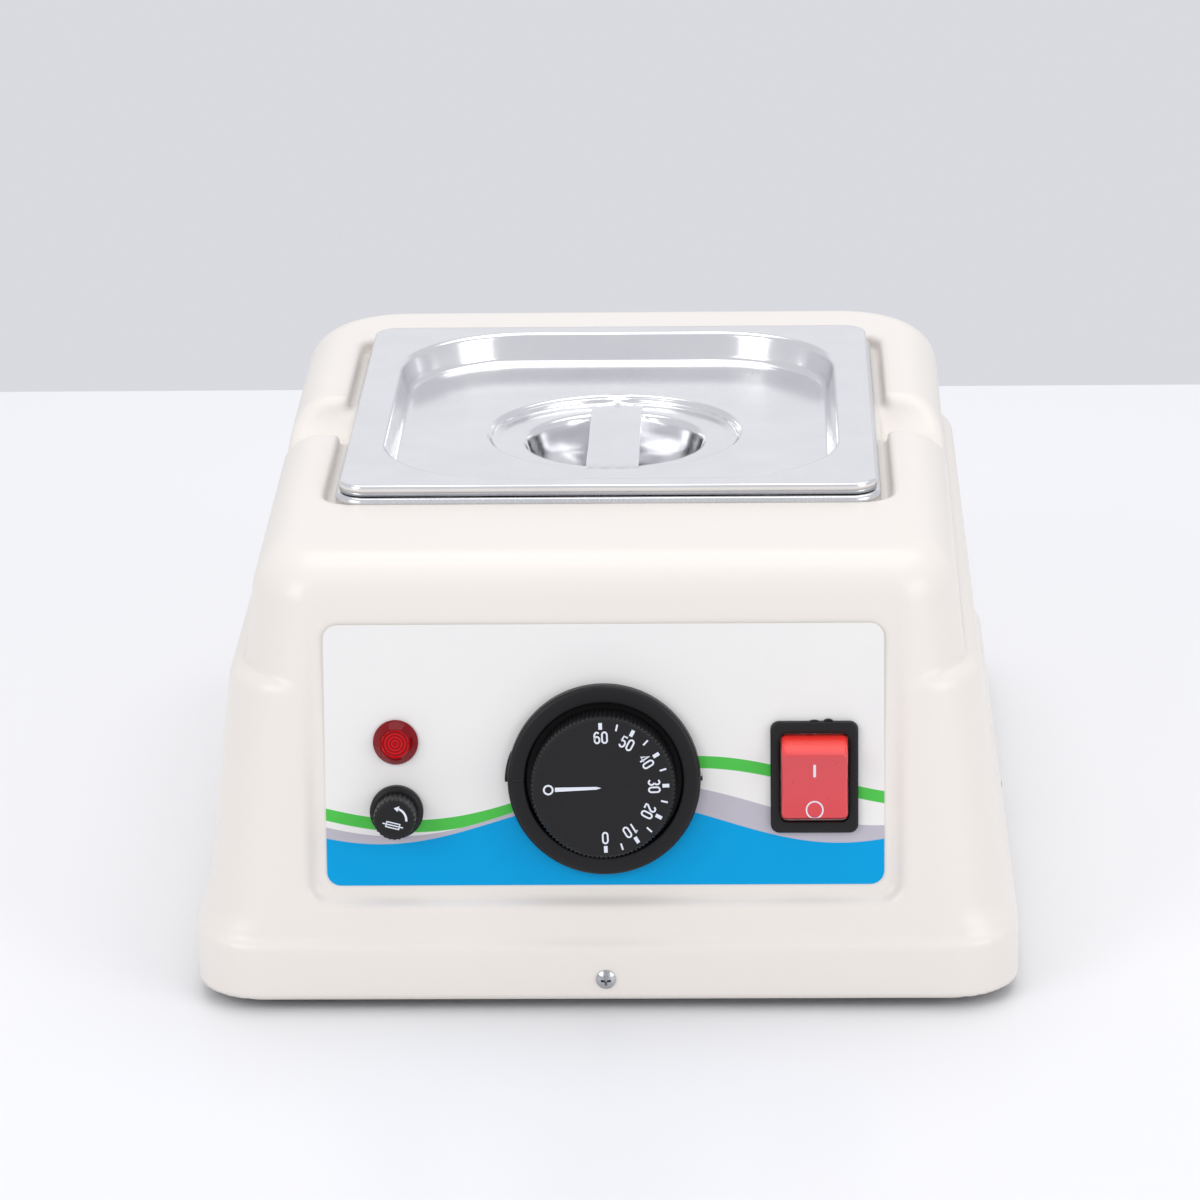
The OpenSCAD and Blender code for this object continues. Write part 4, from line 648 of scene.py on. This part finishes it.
def make_lamp():
    """The lamp's lens: a bevel cut in eight facets round a sunken disc with fine rings."""
    segments = 64

    def octagon(r, a):
        """Radius of an eight-sided form with softened corners."""
        part = (a + math.pi / 8) % (math.pi / 4) - math.pi / 8
        return r * (0.55 / math.cos(part) + 0.45)

    profile = [(3.0, OVERLAY_T), (6.3, OVERLAY_T), (6.5, OVERLAY_T + 0.2), (6.5, 1.2), (6.3, 1.45), (4.55, 3.75),
               (4.3, 4.0), (4.05, 3.9), (3.95, 3.3)]
    rings = []
    for i, (r, z) in enumerate(profile):
        ring = []
        for j in range(segments):
            a = 2 * math.pi * j / segments
            rr = octagon(r, a) if i >= 5 else r
            ring.append((rr * math.cos(a), rr * math.sin(a), z))
        rings.append(ring)
    for k in range(16):
        r = 3.75 - 0.24 * k
        z = 3.1 + (0.05 if k % 2 else 0.0)
        rings.append([(r * math.cos(2 * math.pi * j / segments), r * math.sin(2 * math.pi * j / segments), z)
                      for j in range(segments)])
    verts, faces = skin(rings)
    verts = placed(panel_frame(*LAMP), verts)
    return crisp(new_piece("lamp_lens_cut", verts, faces, "melter", replaces=["lamp_lens"]), 28)


def make_fuse_cap():
    """The fuse cap: a knurled barrel with a flat face, on its plug."""
    r, top = 6.1, CAP_TOP

    def knurl(row, j):
        return -0.32 * (0.5 + 0.5 * math.cos(2 * math.pi * j / 5)) if 5 <= row <= 9 else 0.0

    low = OVERLAY_T + 3.3
    profile = [(2.65, -3.3), (4.9, -3.3), (4.9, low), (5.7, low), (r - 0.1, low + 0.2), (r, low + 0.8),
               (r, low + 3), (r, top - 2), (r, top - 1.1), (r - 0.15, top - 0.6), (r - 0.45, top - 0.2),
               (r - 0.9, top), (3.0, top)]
    verts, faces = turned(profile, 130, knurl)
    verts = placed(panel_frame(*FUSE), verts)
    cap = new_piece("fuse_cap_knurled", verts, faces, "cap", replaces=["fuse_cap"])
    return crisp(cap, 40)


def make_fuse_collar():
    """The fuse holder: its barrel behind the panel and the stepped collar in front."""
    profile = [(0.5, -21.6), (4.0, -21.6), (4.0, -3.6), (5.2, -3.6), (5.2, 3.0), (5.5, 3.35), (6.6, 3.4),
               (7.2, 3.2), (7.6, 2.7), (7.7, 2.2), (7.7, OVERLAY_T + 0.1), (7.6, OVERLAY_T),
               (6.2, OVERLAY_T), (6.2, -25.4), (6.0, -25.6), (0.5, -25.6)]
    verts, faces = turned(profile, 72)
    verts = placed(panel_frame(*FUSE), verts)
    collar = new_piece("fuse_collar", verts, faces, "melter", replaces=["fuse_holder"])
    return crisp(collar, 35)


def make_fuse_print():
    """The cap's print: an arrow for the way it opens, and the standard sign for a fuse."""
    marks = stroke(oval(0, 0, 3.5, 3.5, 8, 84, 16), 0.62)
    c, s = math.cos(math.radians(104)), math.sin(math.radians(104))
    tip = (3.5 * c, 3.5 * s)
    back = math.radians(82)
    marks.append([(2.6 * math.cos(back), 2.6 * math.sin(back)), (4.4 * math.cos(back), 4.4 * math.sin(back)), tip])
    sign = [[(-3.0, -1.6), (3.0, -1.6)], [(-1.9, -2.35), (1.9, -2.35)], [(-1.9, -0.85), (1.9, -0.85)],
            [(-1.9, -2.5), (-1.9, -0.7)], [(1.9, -2.5), (1.9, -0.7)]]
    for line_points in sign:
        marks += stroke(line_points, 0.34)
    marks = [ring if signed(ring) > 0 else ring[::-1] for ring in marks]
    matrix = panel_frame(*FUSE, CAP_TOP) @ Matrix.Rotation(math.radians(-14), 4, "Z")
    return flat_print("fuse_print", marks, matrix, "cap")


def make_switch_bezel():
    """The switch's frame: rounded corners outside and in, a soft outer edge, and its body behind the panel."""
    def ring(w, h, r, z):
        points = []
        for sx, sy, start in ((1, 1, 0), (-1, 1, 90), (-1, -1, 180), (1, -1, 270)):
            for k in range(9):
                a = math.radians(start + 90 * k / 8)
                points.append((sx * (w / 2 - r) + r * math.cos(a), sy * (h / 2 - r) + r * math.sin(a), z))
        return points

    t = OVERLAY_T
    top = t + 2.0
    rings = [ring(19.5, 25.9, 1.9, t - 12.0), ring(19.5, 25.9, 1.9, top - 0.5), ring(19.8, 26.2, 2.0, top - 0.15),
             ring(20.4, 26.8, 2.1, top), ring(24.0, 31.4, 2.3, top), ring(24.7, 32.1, 2.4, top - 0.2),
             ring(25.1, 32.5, 2.5, top - 0.6), ring(25.2, 32.6, 2.5, t + 0.3), ring(25.2, 32.6, 2.5, t),
             ring(22.0, 28.6, 0.6, t), ring(22.0, 28.6, 0.6, t - 24.0)]
    verts, faces = skin(rings)
    at = len(verts)
    nibs = []
    for x in (0.0, 4.0):
        steps = 8
        reach = 0.75 if x else 0.45
        lower = [(x + 1.4 * math.cos(math.pi * k / steps), 32.4 / 2 + reach * math.sin(math.pi * k / steps))
                 for k in range(steps + 1)]
        first = at + len(nibs)
        m = len(lower)
        nibs += [(px, py, t) for px, py in lower] + [(px, py, t + 1.0) for px, py in lower]
        faces += [(first + j, first + (j + 1) % m, first + m + (j + 1) % m, first + m + j) for j in range(m)]
        faces.append(tuple(range(first + m, first + 2 * m)))
    verts = np.vstack([verts, np.array(nibs)])
    verts = placed(panel_frame(*SWITCH), verts)
    frame = new_piece("switch_frame", verts, faces, "melter", replaces=["switch_housing"])
    return crisp(frame, 35)


ROCKER_TILT, ROCKER_R, RIDGE = 11.0, 12.5, math.radians(40)


def rocker_height(v):
    """Height of the rocker's face over its pivot, along its length: two ridges with a shallow dish between."""
    dish = 1.6
    ridge_v, ridge_h = ROCKER_R * math.cos(RIDGE), ROCKER_R * math.sin(RIDGE)
    if abs(v) <= ridge_v:
        return ridge_h - dish * (1 - (v / ridge_v) ** 2)
    return math.sqrt(max(ROCKER_R ** 2 - v * v, 0))


def rocker_frame():
    """The matrix of the rocker's own frame, on its pivot and tilted as it rests."""
    return panel_frame(*SWITCH, OVERLAY_T + 2.0 - 3.0) @ Matrix.Rotation(math.radians(ROCKER_TILT), 4, "X")


def make_rocker():
    """The red rocker: a dished face between two ridges, round ends that sweep past the frame, soft side edges."""
    width = 18.9
    section = arc_points(0, 0, ROCKER_R, 203, 141.5, 13)
    ridge_v = ROCKER_R * math.cos(RIDGE)
    section += [(v, rocker_height(v)) for v in np.linspace(-ridge_v + 0.25, ridge_v - 0.25, 26)]
    section += arc_points(0, 0, ROCKER_R, 38.5, -23, 13)
    sides = [(-width / 2, 1.1), (-width / 2 + 0.12, 0.62), (-width / 2 + 0.45, 0.25), (-width / 2 + 1.0, 0.06),
             (-width / 2 + 1.8, 0.0)]
    rows = sides + [(-x, sink) for x, sink in reversed(sides)]
    rings = []
    for x, sink in rows:
        ring = []
        for v, h in section:
            length = math.hypot(v, h)
            share = (length - sink) / length
            ring.append((x, v * share, h * share if h > -1 else h))
        rings.append(ring)
    verts, faces = skin(rings)
    verts = placed(rocker_frame(), verts)
    cap = new_piece("rocker_cap", verts, faces, "rocker", replaces=["switch_rocker"])
    return crisp(cap, 32)


def make_rocker_print():
    """I and O in white on the rocker's face, following its dish."""
    off_v, on_v, on_l, parts = -7.5, 4.35, 4.1, 8
    marks = ring_marks(0, off_v, 2.35, 0.42, 44)
    marks += [bar(0, on_v + on_l * (k - (parts - 1) / 2) / parts, 90, on_l / parts, 0.75) for k in range(parts)]
    verts, faces = [], []
    for ring in marks:
        if signed(ring) < 0:
            ring = ring[::-1]
        at = len(verts)
        for lift in (-0.01, 0.035):
            verts += [(x, y, rocker_height(y) + lift) for x, y in ring]
        faces.append((at + 4, at + 5, at + 6, at + 7))
        faces += [(at + j, at + (j + 1) % 4, at + 4 + (j + 1) % 4, at + 4 + j) for j in range(4)]
    verts = placed(rocker_frame(), verts)
    return new_piece("rocker_print", verts, faces, "rocker", smooth=False)


# Materials


def linear(code, alpha=1.0):
    """An sRGB hex colour as the linear numbers that Blender takes."""
    parts = [int(code.lstrip("#")[i:i + 2], 16) / 255 for i in (0, 2, 4)]
    return (*[p / 12.92 if p <= 0.04045 else ((p + 0.055) / 1.055) ** 2.4 for p in parts], alpha)


def add(tree, kind, inputs=None, **settings):
    """A shader node with its settings; inputs gives sockets a value or another node's output."""
    node = tree.nodes.new("ShaderNode" + kind)
    for key, value in settings.items():
        setattr(node, key, value)
    for key, value in (inputs or {}).items():
        if isinstance(value, bpy.types.NodeSocket):
            tree.links.new(value, node.inputs[key])
        else:
            node.inputs[key].default_value = value
    return node


def start(name, colour, roughness, **sockets):
    """A material with its surface shader; sockets are set as plain values."""
    material = bpy.data.materials.new(name)
    material.use_nodes = True
    tree = material.node_tree
    shader = tree.nodes["Principled BSDF"]
    shader.inputs["Base Color"].default_value = linear(colour)
    shader.inputs["Roughness"].default_value = roughness
    for key, value in sockets.items():
        shader.inputs[key.replace("_", " ")].default_value = value
    return material, tree, shader


def grain(tree, size_mm, stretch=(1, 1, 1), detail=3.0, roughness=0.55):
    """Noise whose spots are a real size, which may be drawn out along an axis."""
    place = add(tree, "TexCoord")
    scaled = add(tree, "Mapping", {"Vector": place.outputs["Object"], "Scale": stretch})
    return add(tree, "TexNoise", {"Vector": scaled.outputs[0], "Scale": 1 / (size_mm * MM), "Detail": detail,
                                  "Roughness": roughness}).outputs["Fac"]


def sums(tree, kind, *values):
    """One sum of values or outputs, by a math node of the kind asked for."""
    return add(tree, "Math", dict(enumerate(values)), operation=kind).outputs[0]


def spread(tree, value, low, high, source=(0.3, 0.7)):
    """A pattern's usual range brought to the range that a socket needs."""
    return add(tree, "MapRange", {"Value": value, "From Min": source[0], "From Max": source[1], "To Min": low,
                                  "To Max": high}).outputs["Result"]


def two_tone(tree, value, one, other):
    """Two colours mixed by a pattern."""
    return add(tree, "Mix", {"Factor": value, "A": linear(one), "B": linear(other)}, data_type="RGBA",
               clamp_factor=True).outputs[2]


def bump(tree, shader, height, depth_mm, strength=1.0):
    """Relief of a real depth."""
    relief = add(tree, "Bump", {"Height": height, "Distance": depth_mm * MM, "Strength": strength})
    tree.links.new(relief.outputs[0], shader.inputs["Normal"])


def plastic(name, colour, other, roughness, skin_mm=0.6, depth_mm=0.01, cloud_mm=60.0, gloss_mm=25.0, **sockets):
    """Moulded plastic: a faint cloud of tone, and a fine skin from the mould that softens its gloss."""
    material, tree, shader = start(name, colour, roughness, **sockets)
    cloud = grain(tree, cloud_mm, detail=0.0)
    tree.links.new(two_tone(tree, cloud, colour, other), shader.inputs["Base Color"])
    gloss = grain(tree, gloss_mm, detail=0.0)
    tree.links.new(spread(tree, gloss, roughness * 0.9, roughness * 1.1, source=(0.0, 1.0)),
                   shader.inputs["Roughness"])
    bump(tree, shader, grain(tree, skin_mm, detail=0.0), depth_mm)
    return material


def steel(name, colour, other, roughness, streak, streak_mm=0.35, depth_mm=0.004, cloud_mm=22.0):
    """Sheet metal: fine rubbed streaks along one way, and cloudy handling marks."""
    material, tree, shader = start(name, colour, roughness, Metallic=1.0)
    rubbed = grain(tree, streak_mm, stretch=streak, detail=4.0)
    cloud = grain(tree, cloud_mm, detail=3.0)
    tree.links.new(two_tone(tree, spread(tree, cloud, 0.0, 1.0), colour, other), shader.inputs["Base Color"])
    tree.links.new(spread(tree, rubbed, roughness * 0.8, roughness * 1.25), shader.inputs["Roughness"])
    bump(tree, shader, rubbed, depth_mm, 0.5)
    return material


def panel_place(tree):
    """Distance across the panel and up it from its middle, in millimetres."""
    place = add(tree, "TexCoord").outputs["Object"]
    parts = add(tree, "SeparateXYZ", {"Vector": place})
    s, c = math.sin(PANEL_LEAN), math.cos(PANEL_LEAN)
    along = add(tree, "VectorMath", {0: place, 1: (0.0, s / MM, c / MM)}, operation="DOT_PRODUCT").outputs["Value"]
    up = sums(tree, "SUBTRACT", along, PANEL_Y * s + PANEL_Z * c)
    across = sums(tree, "MULTIPLY", parts.outputs["X"], 1 / MM)
    return across, up


def lamp_red():
    """Clear red lens: fine rings glow round its middle; its bright and dark rings and its darker, deeper red bevel
    are painted refraction light and shade on a plastic of one red.
    """
    material, tree, shader = start("clear red polycarbonate", "#C01020", 0.08, IOR=1.45, Coat_Weight=0.05,
                                   Coat_Roughness=0.05, Specular_IOR_Level=0.2)
    ring_pitch, disc_r, bevel_r = 0.96, 3.9, 4.3
    across, up = panel_place(tree)
    spot = add(tree, "CombineXYZ", {"X": across, "Y": up})
    from_axis = add(tree, "VectorMath", {0: spot.outputs[0], 1: (*LAMP, 0.0)},
                    operation="DISTANCE").outputs["Value"]
    turn = sums(tree, "MULTIPLY", from_axis, 2 * math.pi / ring_pitch)
    ripple = sums(tree, "COSINE", turn)
    # Painted refraction light and shade: bright and dark rings on a lens of one red.
    rings = two_tone(tree, spread(tree, ripple, 0.0, 1.0, source=(-1.0, 1.0)), "#74020C", "#D00812")
    bevel = add(tree, "MapRange", {"Value": from_axis, "From Min": disc_r, "From Max": bevel_r}).outputs["Result"]
    # Painted refraction shade: the bevel is drawn a darker red than the disc, though it is the same plastic.
    look = add(tree, "Mix", {"Factor": bevel, "A": rings, "B": linear("#7A0612")}, data_type="RGBA").outputs[2]
    tree.links.new(look, shader.inputs["Base Color"])
    tree.links.new(rings, shader.inputs["Emission Color"])
    glow = add(tree, "MapRange", {"Value": from_axis, "From Min": 3.0, "From Max": bevel_r, "To Min": 0.1,
                                  "To Max": 0.02}).outputs["Result"]
    tree.links.new(glow, shader.inputs["Emission Strength"])
    bump(tree, shader, grain(tree, 1.2), 0.01, 0.4)
    return material


def rocker_red():
    """Translucent red moulding with a fine slanting hatch moulded under its face, and a painted highlight on its
    top end.
    """
    material, tree, shader = start("translucent red rocker", "#DC3A42", 0.3, IOR=1.53, Coat_Weight=0.3,
                                   Coat_Roughness=0.15)
    across, up = panel_place(tree)
    hatch_pitch = 0.85
    slant = sums(tree, "ADD", across, up)
    turn = sums(tree, "MULTIPLY", slant, 2 * math.pi / hatch_pitch)
    hatch = spread(tree, sums(tree, "SINE", turn), 0.0, 1.0, source=(-1.0, 1.0))
    face = two_tone(tree, hatch, "#D73A42", "#DC484F")
    # Painted highlight: the top end is drawn a lighter red where the light falls on it.
    end = add(tree, "MapRange", {"Value": up, "From Min": SWITCH[1] + 7.6,
                                 "From Max": SWITCH[1] + 9.4}).outputs["Result"]
    look = add(tree, "Mix", {"Factor": end, "A": face, "B": linear("#F5362F")}, data_type="RGBA").outputs[2]
    tree.links.new(look, shader.inputs["Base Color"])
    tree.links.new(spread(tree, grain(tree, 6.0), 0.26, 0.34), shader.inputs["Roughness"])
    bump(tree, shader, hatch, 0.004, 0.5)
    return material


def overlay_print():
    """Screen-printed polycarbonate: white above, blue below, with a green and a grey ribbon on rolling lines."""
    material, tree, shader = start("printed polycarbonate overlay", "#EEEDEA", 0.45, IOR=1.5,
                                   Specular_IOR_Level=0.12)
    across, up = panel_place(tree)

    def rolling(level, height, length, shift, tilt):
        """Height of the print above a rolling line, in millimetres."""
        turn = sums(tree, "MULTIPLY_ADD", across, 2 * math.pi / length, shift)
        wave = sums(tree, "SINE", turn)
        line = sums(tree, "MULTIPLY_ADD", wave, height, level)
        slope = sums(tree, "MULTIPLY_ADD", across, tilt, line)
        return sums(tree, "SUBTRACT", up, slope)

    def below(distance, limit):
        """One under the line and nought over it, with a printed edge of a tenth of a millimetre."""
        return add(tree, "MapRange", {"Value": distance, "From Min": limit - 0.06, "From Max": limit + 0.06,
                                      "To Min": 1.0, "To Max": 0.0}).outputs["Result"]

    def ink(factor, under, colour):
        return add(tree, "Mix", {"Factor": factor, "A": under, "B": linear(colour)}, data_type="RGBA").outputs[2]

    paper = two_tone(tree, spread(tree, grain(tree, 40.0), 0.0, 1.0), "#EEEDEA", "#EBEAE8")
    green_line = rolling(level=-9.0, height=7.5, length=150.0, shift=0.6, tilt=0.045)
    grey_line = rolling(level=-15.5, height=7.0, length=138.0, shift=1.1, tilt=0.02)
    blue_line = rolling(level=-19.5, height=6.5, length=132.0, shift=1.5, tilt=0.0)
    ribbon = 3.6
    look = ink(below(green_line, 0.0), paper, "#52C450")
    look = ink(below(green_line, -ribbon), look, "#EEEDEA")
    look = ink(below(grey_line, 0.0), look, "#BEBAC4")
    look = ink(below(blue_line, 0.0), look, "#009FDC")
    tree.links.new(look, shader.inputs["Base Color"])
    tree.links.new(spread(tree, grain(tree, 6.0), 0.41, 0.49), shader.inputs["Roughness"])
    bump(tree, shader, grain(tree, 0.25), 0.002)
    return material


def woven(name, colour, other, size_mm, depth_mm, roughness=0.95):
    """Felted wool: tangled fibres in two tones."""
    material, tree, shader = start(name, colour, roughness)
    fibre = grain(tree, size_mm, stretch=(1, 0.25, 1), detail=6.0, roughness=0.7)
    tree.links.new(two_tone(tree, spread(tree, fibre, 0.0, 1.0), colour, other), shader.inputs["Base Color"])
    bump(tree, shader, fibre, depth_mm)
    return material


def glass_tube():
    """The fuse's clear glass, with a faint ripple from drawing."""
    material, tree, shader = start("drawn fuse glass", "#F2F7F7", 0.05, IOR=1.5)
    shader.inputs["Transmission Weight"].default_value = 0.9
    bump(tree, shader, grain(tree, 3.0), 0.01, 0.3)
    return material


def finishes():
    """Every finish, by the name of the record's slot that it stands for."""
    return {
        # ivory ABS, injection moulded: warm off-white, satin gloss with a fine skin
        "casing_plastic": plastic("ivory moulded abs", "#EDE7E0", "#EBE5DD", 0.3, 3.0, 0.001, IOR=1.5),
        # deep-drawn stainless steel: satin, with streaks along the draw
        "pan_steel": steel("drawn stainless steel", "#E4E5E7", "#DDDEE1", 0.24, (1, 1, 0.12)),
        # pressed stainless steel: cleaner and brighter, with streaks along its length
        "lid_steel": steel("pressed bright stainless steel", "#EFEFF0", "#E9E9EB", 0.17, (1, 0.06, 1)),
        # deep-drawn aluminium sheet: paler and duller than the pan
        "tank_sheet": steel("drawn aluminium sheet", "#BFC1C4", "#B2B4B8", 0.38, (0.1, 1, 1)),
        # zinc-plated mild steel: cool grey with a mottled plate
        "zinc_steel": steel("zinc plated steel", "#B3B7BC", "#A2A7AD", 0.34, (1, 1, 1), 2.0, 0.01),
        # bright plated fasteners
        "screw_steel": steel("bright plated screw steel", "#C4C5C8", "#A9ABB0", 0.22, (1, 1, 1), 0.6, 0.01),
        "black_plastic": plastic("black moulded nylon", "#0F0E10", "#121113", 0.42, 0.4, 0.01, IOR=1.52,
                                 Specular_IOR_Level=0.32),
        "knob_plastic": plastic("black satin abs dial", "#0E0D0F", "#111013", 0.46, 0.35, 0.012, IOR=1.53,
                                Specular_IOR_Level=0.32),
        # white pad-printing ink: flat and slightly rough
        "white_ink": plastic("white pad printing ink", "#E6E9F2", "#DDE1EC", 0.5, 0.2, 0.004),
        "red_lens": lamp_red(),
        "rocker_plastic": rocker_red(),
        "brass": steel("bare brass", "#C9A450", "#B58E3E", 0.28, (1, 1, 0.2)),
        "copper": steel("bright copper tube", "#C07A4E", "#A8653E", 0.27, (0.2, 1, 1)),
        "fuse_glass": glass_tube(),
        # moulded rubber: dull black, dusty in its pores
        "black_rubber": plastic("moulded black rubber", "#2A2A2B", "#333333", 0.78, 0.8, 0.03),
        "heater_silicone": plastic("silicone heater mat", "#B0482E", "#A23F27", 0.7, 1.0, 0.03),
        "insulation_wool": woven("mineral wool felt", "#D9CBA2", "#C2B283", 1.2, 0.4),
        "brown_sleeve": plastic("brown wire insulation", "#6B3F22", "#62381D", 0.4),
        "blue_sleeve": plastic("blue wire insulation", "#2B62B8", "#2659AA", 0.4),
        "green_sleeve": plastic("green wire insulation", "#6E9B2A", "#648E24", 0.4),
        "white_sleeve": plastic("white glass-fibre sleeve", "#E9E7E1", "#DEDBD2", 0.6),
        "overlay_print": overlay_print(),
    }


def dress(pieces):
    """Gives every new piece and every kept node its finish."""
    finish = finishes()
    slots = {entry["node"]: entry["material_slot"] for entry in frame["record"]["subparts"]}
    for node, thing in frame["nodes"].items():
        thing.data.materials.clear()
        thing.data.materials.append(finish[slots[node]])
    for piece, name in pieces:
        piece.data.materials.clear()
        piece.data.materials.append(finish[name])


# The studio


def make_studio():
    """A white table in a pale grey room, four soft boxes, and the camera of the photograph."""
    half, back, gloss = 2600, PAN_Y + 473, 0.35
    corners = [(x, y, 0) for y in (-half, back) for x in (-half, half)]
    mesh = bpy.data.meshes.new("table")
    mesh.from_pydata([tuple(v * MM for v in p) for p in corners], [], [(0, 1, 3, 2)])
    mesh.polygons.foreach_set("use_smooth", [True] * len(mesh.polygons))
    thing = bpy.data.objects.new("table", mesh)
    bpy.context.collection.objects.link(thing)
    # white painted board: matt, with hardly any cloud in its gloss
    material, tree, shader = start("table paint", "#F0F0F1", gloss)
    tree.links.new(spread(tree, grain(tree, 300.0), gloss * 0.95, gloss * 1.05), shader.inputs["Roughness"])
    mesh.materials.append(material)

    world = bpy.data.worlds.new("studio")
    bpy.context.scene.world = world
    world.use_nodes = True
    tree = world.node_tree
    tree.nodes["Background"].inputs["Color"].default_value = linear("#F7F8FE")
    tree.nodes["Background"].inputs["Strength"].default_value = 0.75

    def soft_box(name, place, aim, size, power, colour="#FFFFFF"):
        light = bpy.data.lights.new(name, "AREA")
        light.shape, light.size, light.size_y = "RECTANGLE", size[0], size[1]
        light.energy = power
        light.color = linear(colour)[:3]
        lamp = bpy.data.objects.new(name, light)
        bpy.context.collection.objects.link(lamp)
        lamp.location = Vector(place)
        lamp.rotation_euler = (Vector(aim) - Vector(place)).to_track_quat("-Z", "Y").to_euler()

    soft_box("overhead", (0.1, 0.25, 1.3), (0, 0, 0), (1.3, 1.1), 6.0)
    soft_box("front_left", (-1.1, -1.2, 0.9), (0, -0.1, 0.06), (0.9, 0.9), 6.6)
    soft_box("front_right", (1.2, -1.0, 0.7), (0, -0.1, 0.06), (0.9, 0.9), 5.2)
    soft_box("behind", (0.0, 2.0, 0.8), (0, 0, 0.13), (2.4, 0.7), 0.9)

    camera = bpy.data.objects.new("camera", bpy.data.cameras.new("camera"))
    bpy.context.collection.objects.link(camera)
    bpy.context.scene.camera = camera
    sensor_mm, focal_px, photo_px = 36.0, 5250, 1200
    camera.data.sensor_width = sensor_mm
    camera.data.lens = sensor_mm * focal_px / photo_px
    camera.data.clip_start, camera.data.clip_end = 0.05, 20.0
    yaw, pitch, roll = math.radians(-1.83), math.radians(18.66), math.radians(0.87)
    ahead = Vector((math.sin(yaw) * math.cos(pitch), math.cos(yaw) * math.cos(pitch), -math.sin(pitch)))
    right = Vector((math.cos(yaw), -math.sin(yaw), 0))
    down = ahead.cross(right)
    side = math.cos(roll) * right + math.sin(roll) * down
    lower = -math.sin(roll) * right + math.cos(roll) * down
    turn = Matrix((side, -lower, -ahead)).transposed().to_4x4()
    camera.matrix_world = Matrix.Translation(Vector((44.6, -1563.7 + PAN_Y, 597.8)) * MM) @ turn


make_studio()
pieces = [
    (make_casing(), "casing_plastic"), (make_base_screws(), "screw_steel"), (make_food_pan(), "pan_steel"),
    (make_lid(), "lid_steel"), (make_strap(), "lid_steel"), (make_knob(), "knob_plastic"),
    (make_knob_bezel(), "black_plastic"), (make_dial_print(), "white_ink"), (make_lamp(), "red_lens"),
    (make_fuse_cap(), "black_plastic"), (make_fuse_collar(), "black_plastic"), (make_fuse_print(), "white_ink"),
    (make_switch_bezel(), "black_plastic"), (make_rocker(), "rocker_plastic"), (make_rocker_print(), "white_ink"),
]
dress(pieces)

bpy.context.scene.view_settings.view_transform = "Standard"
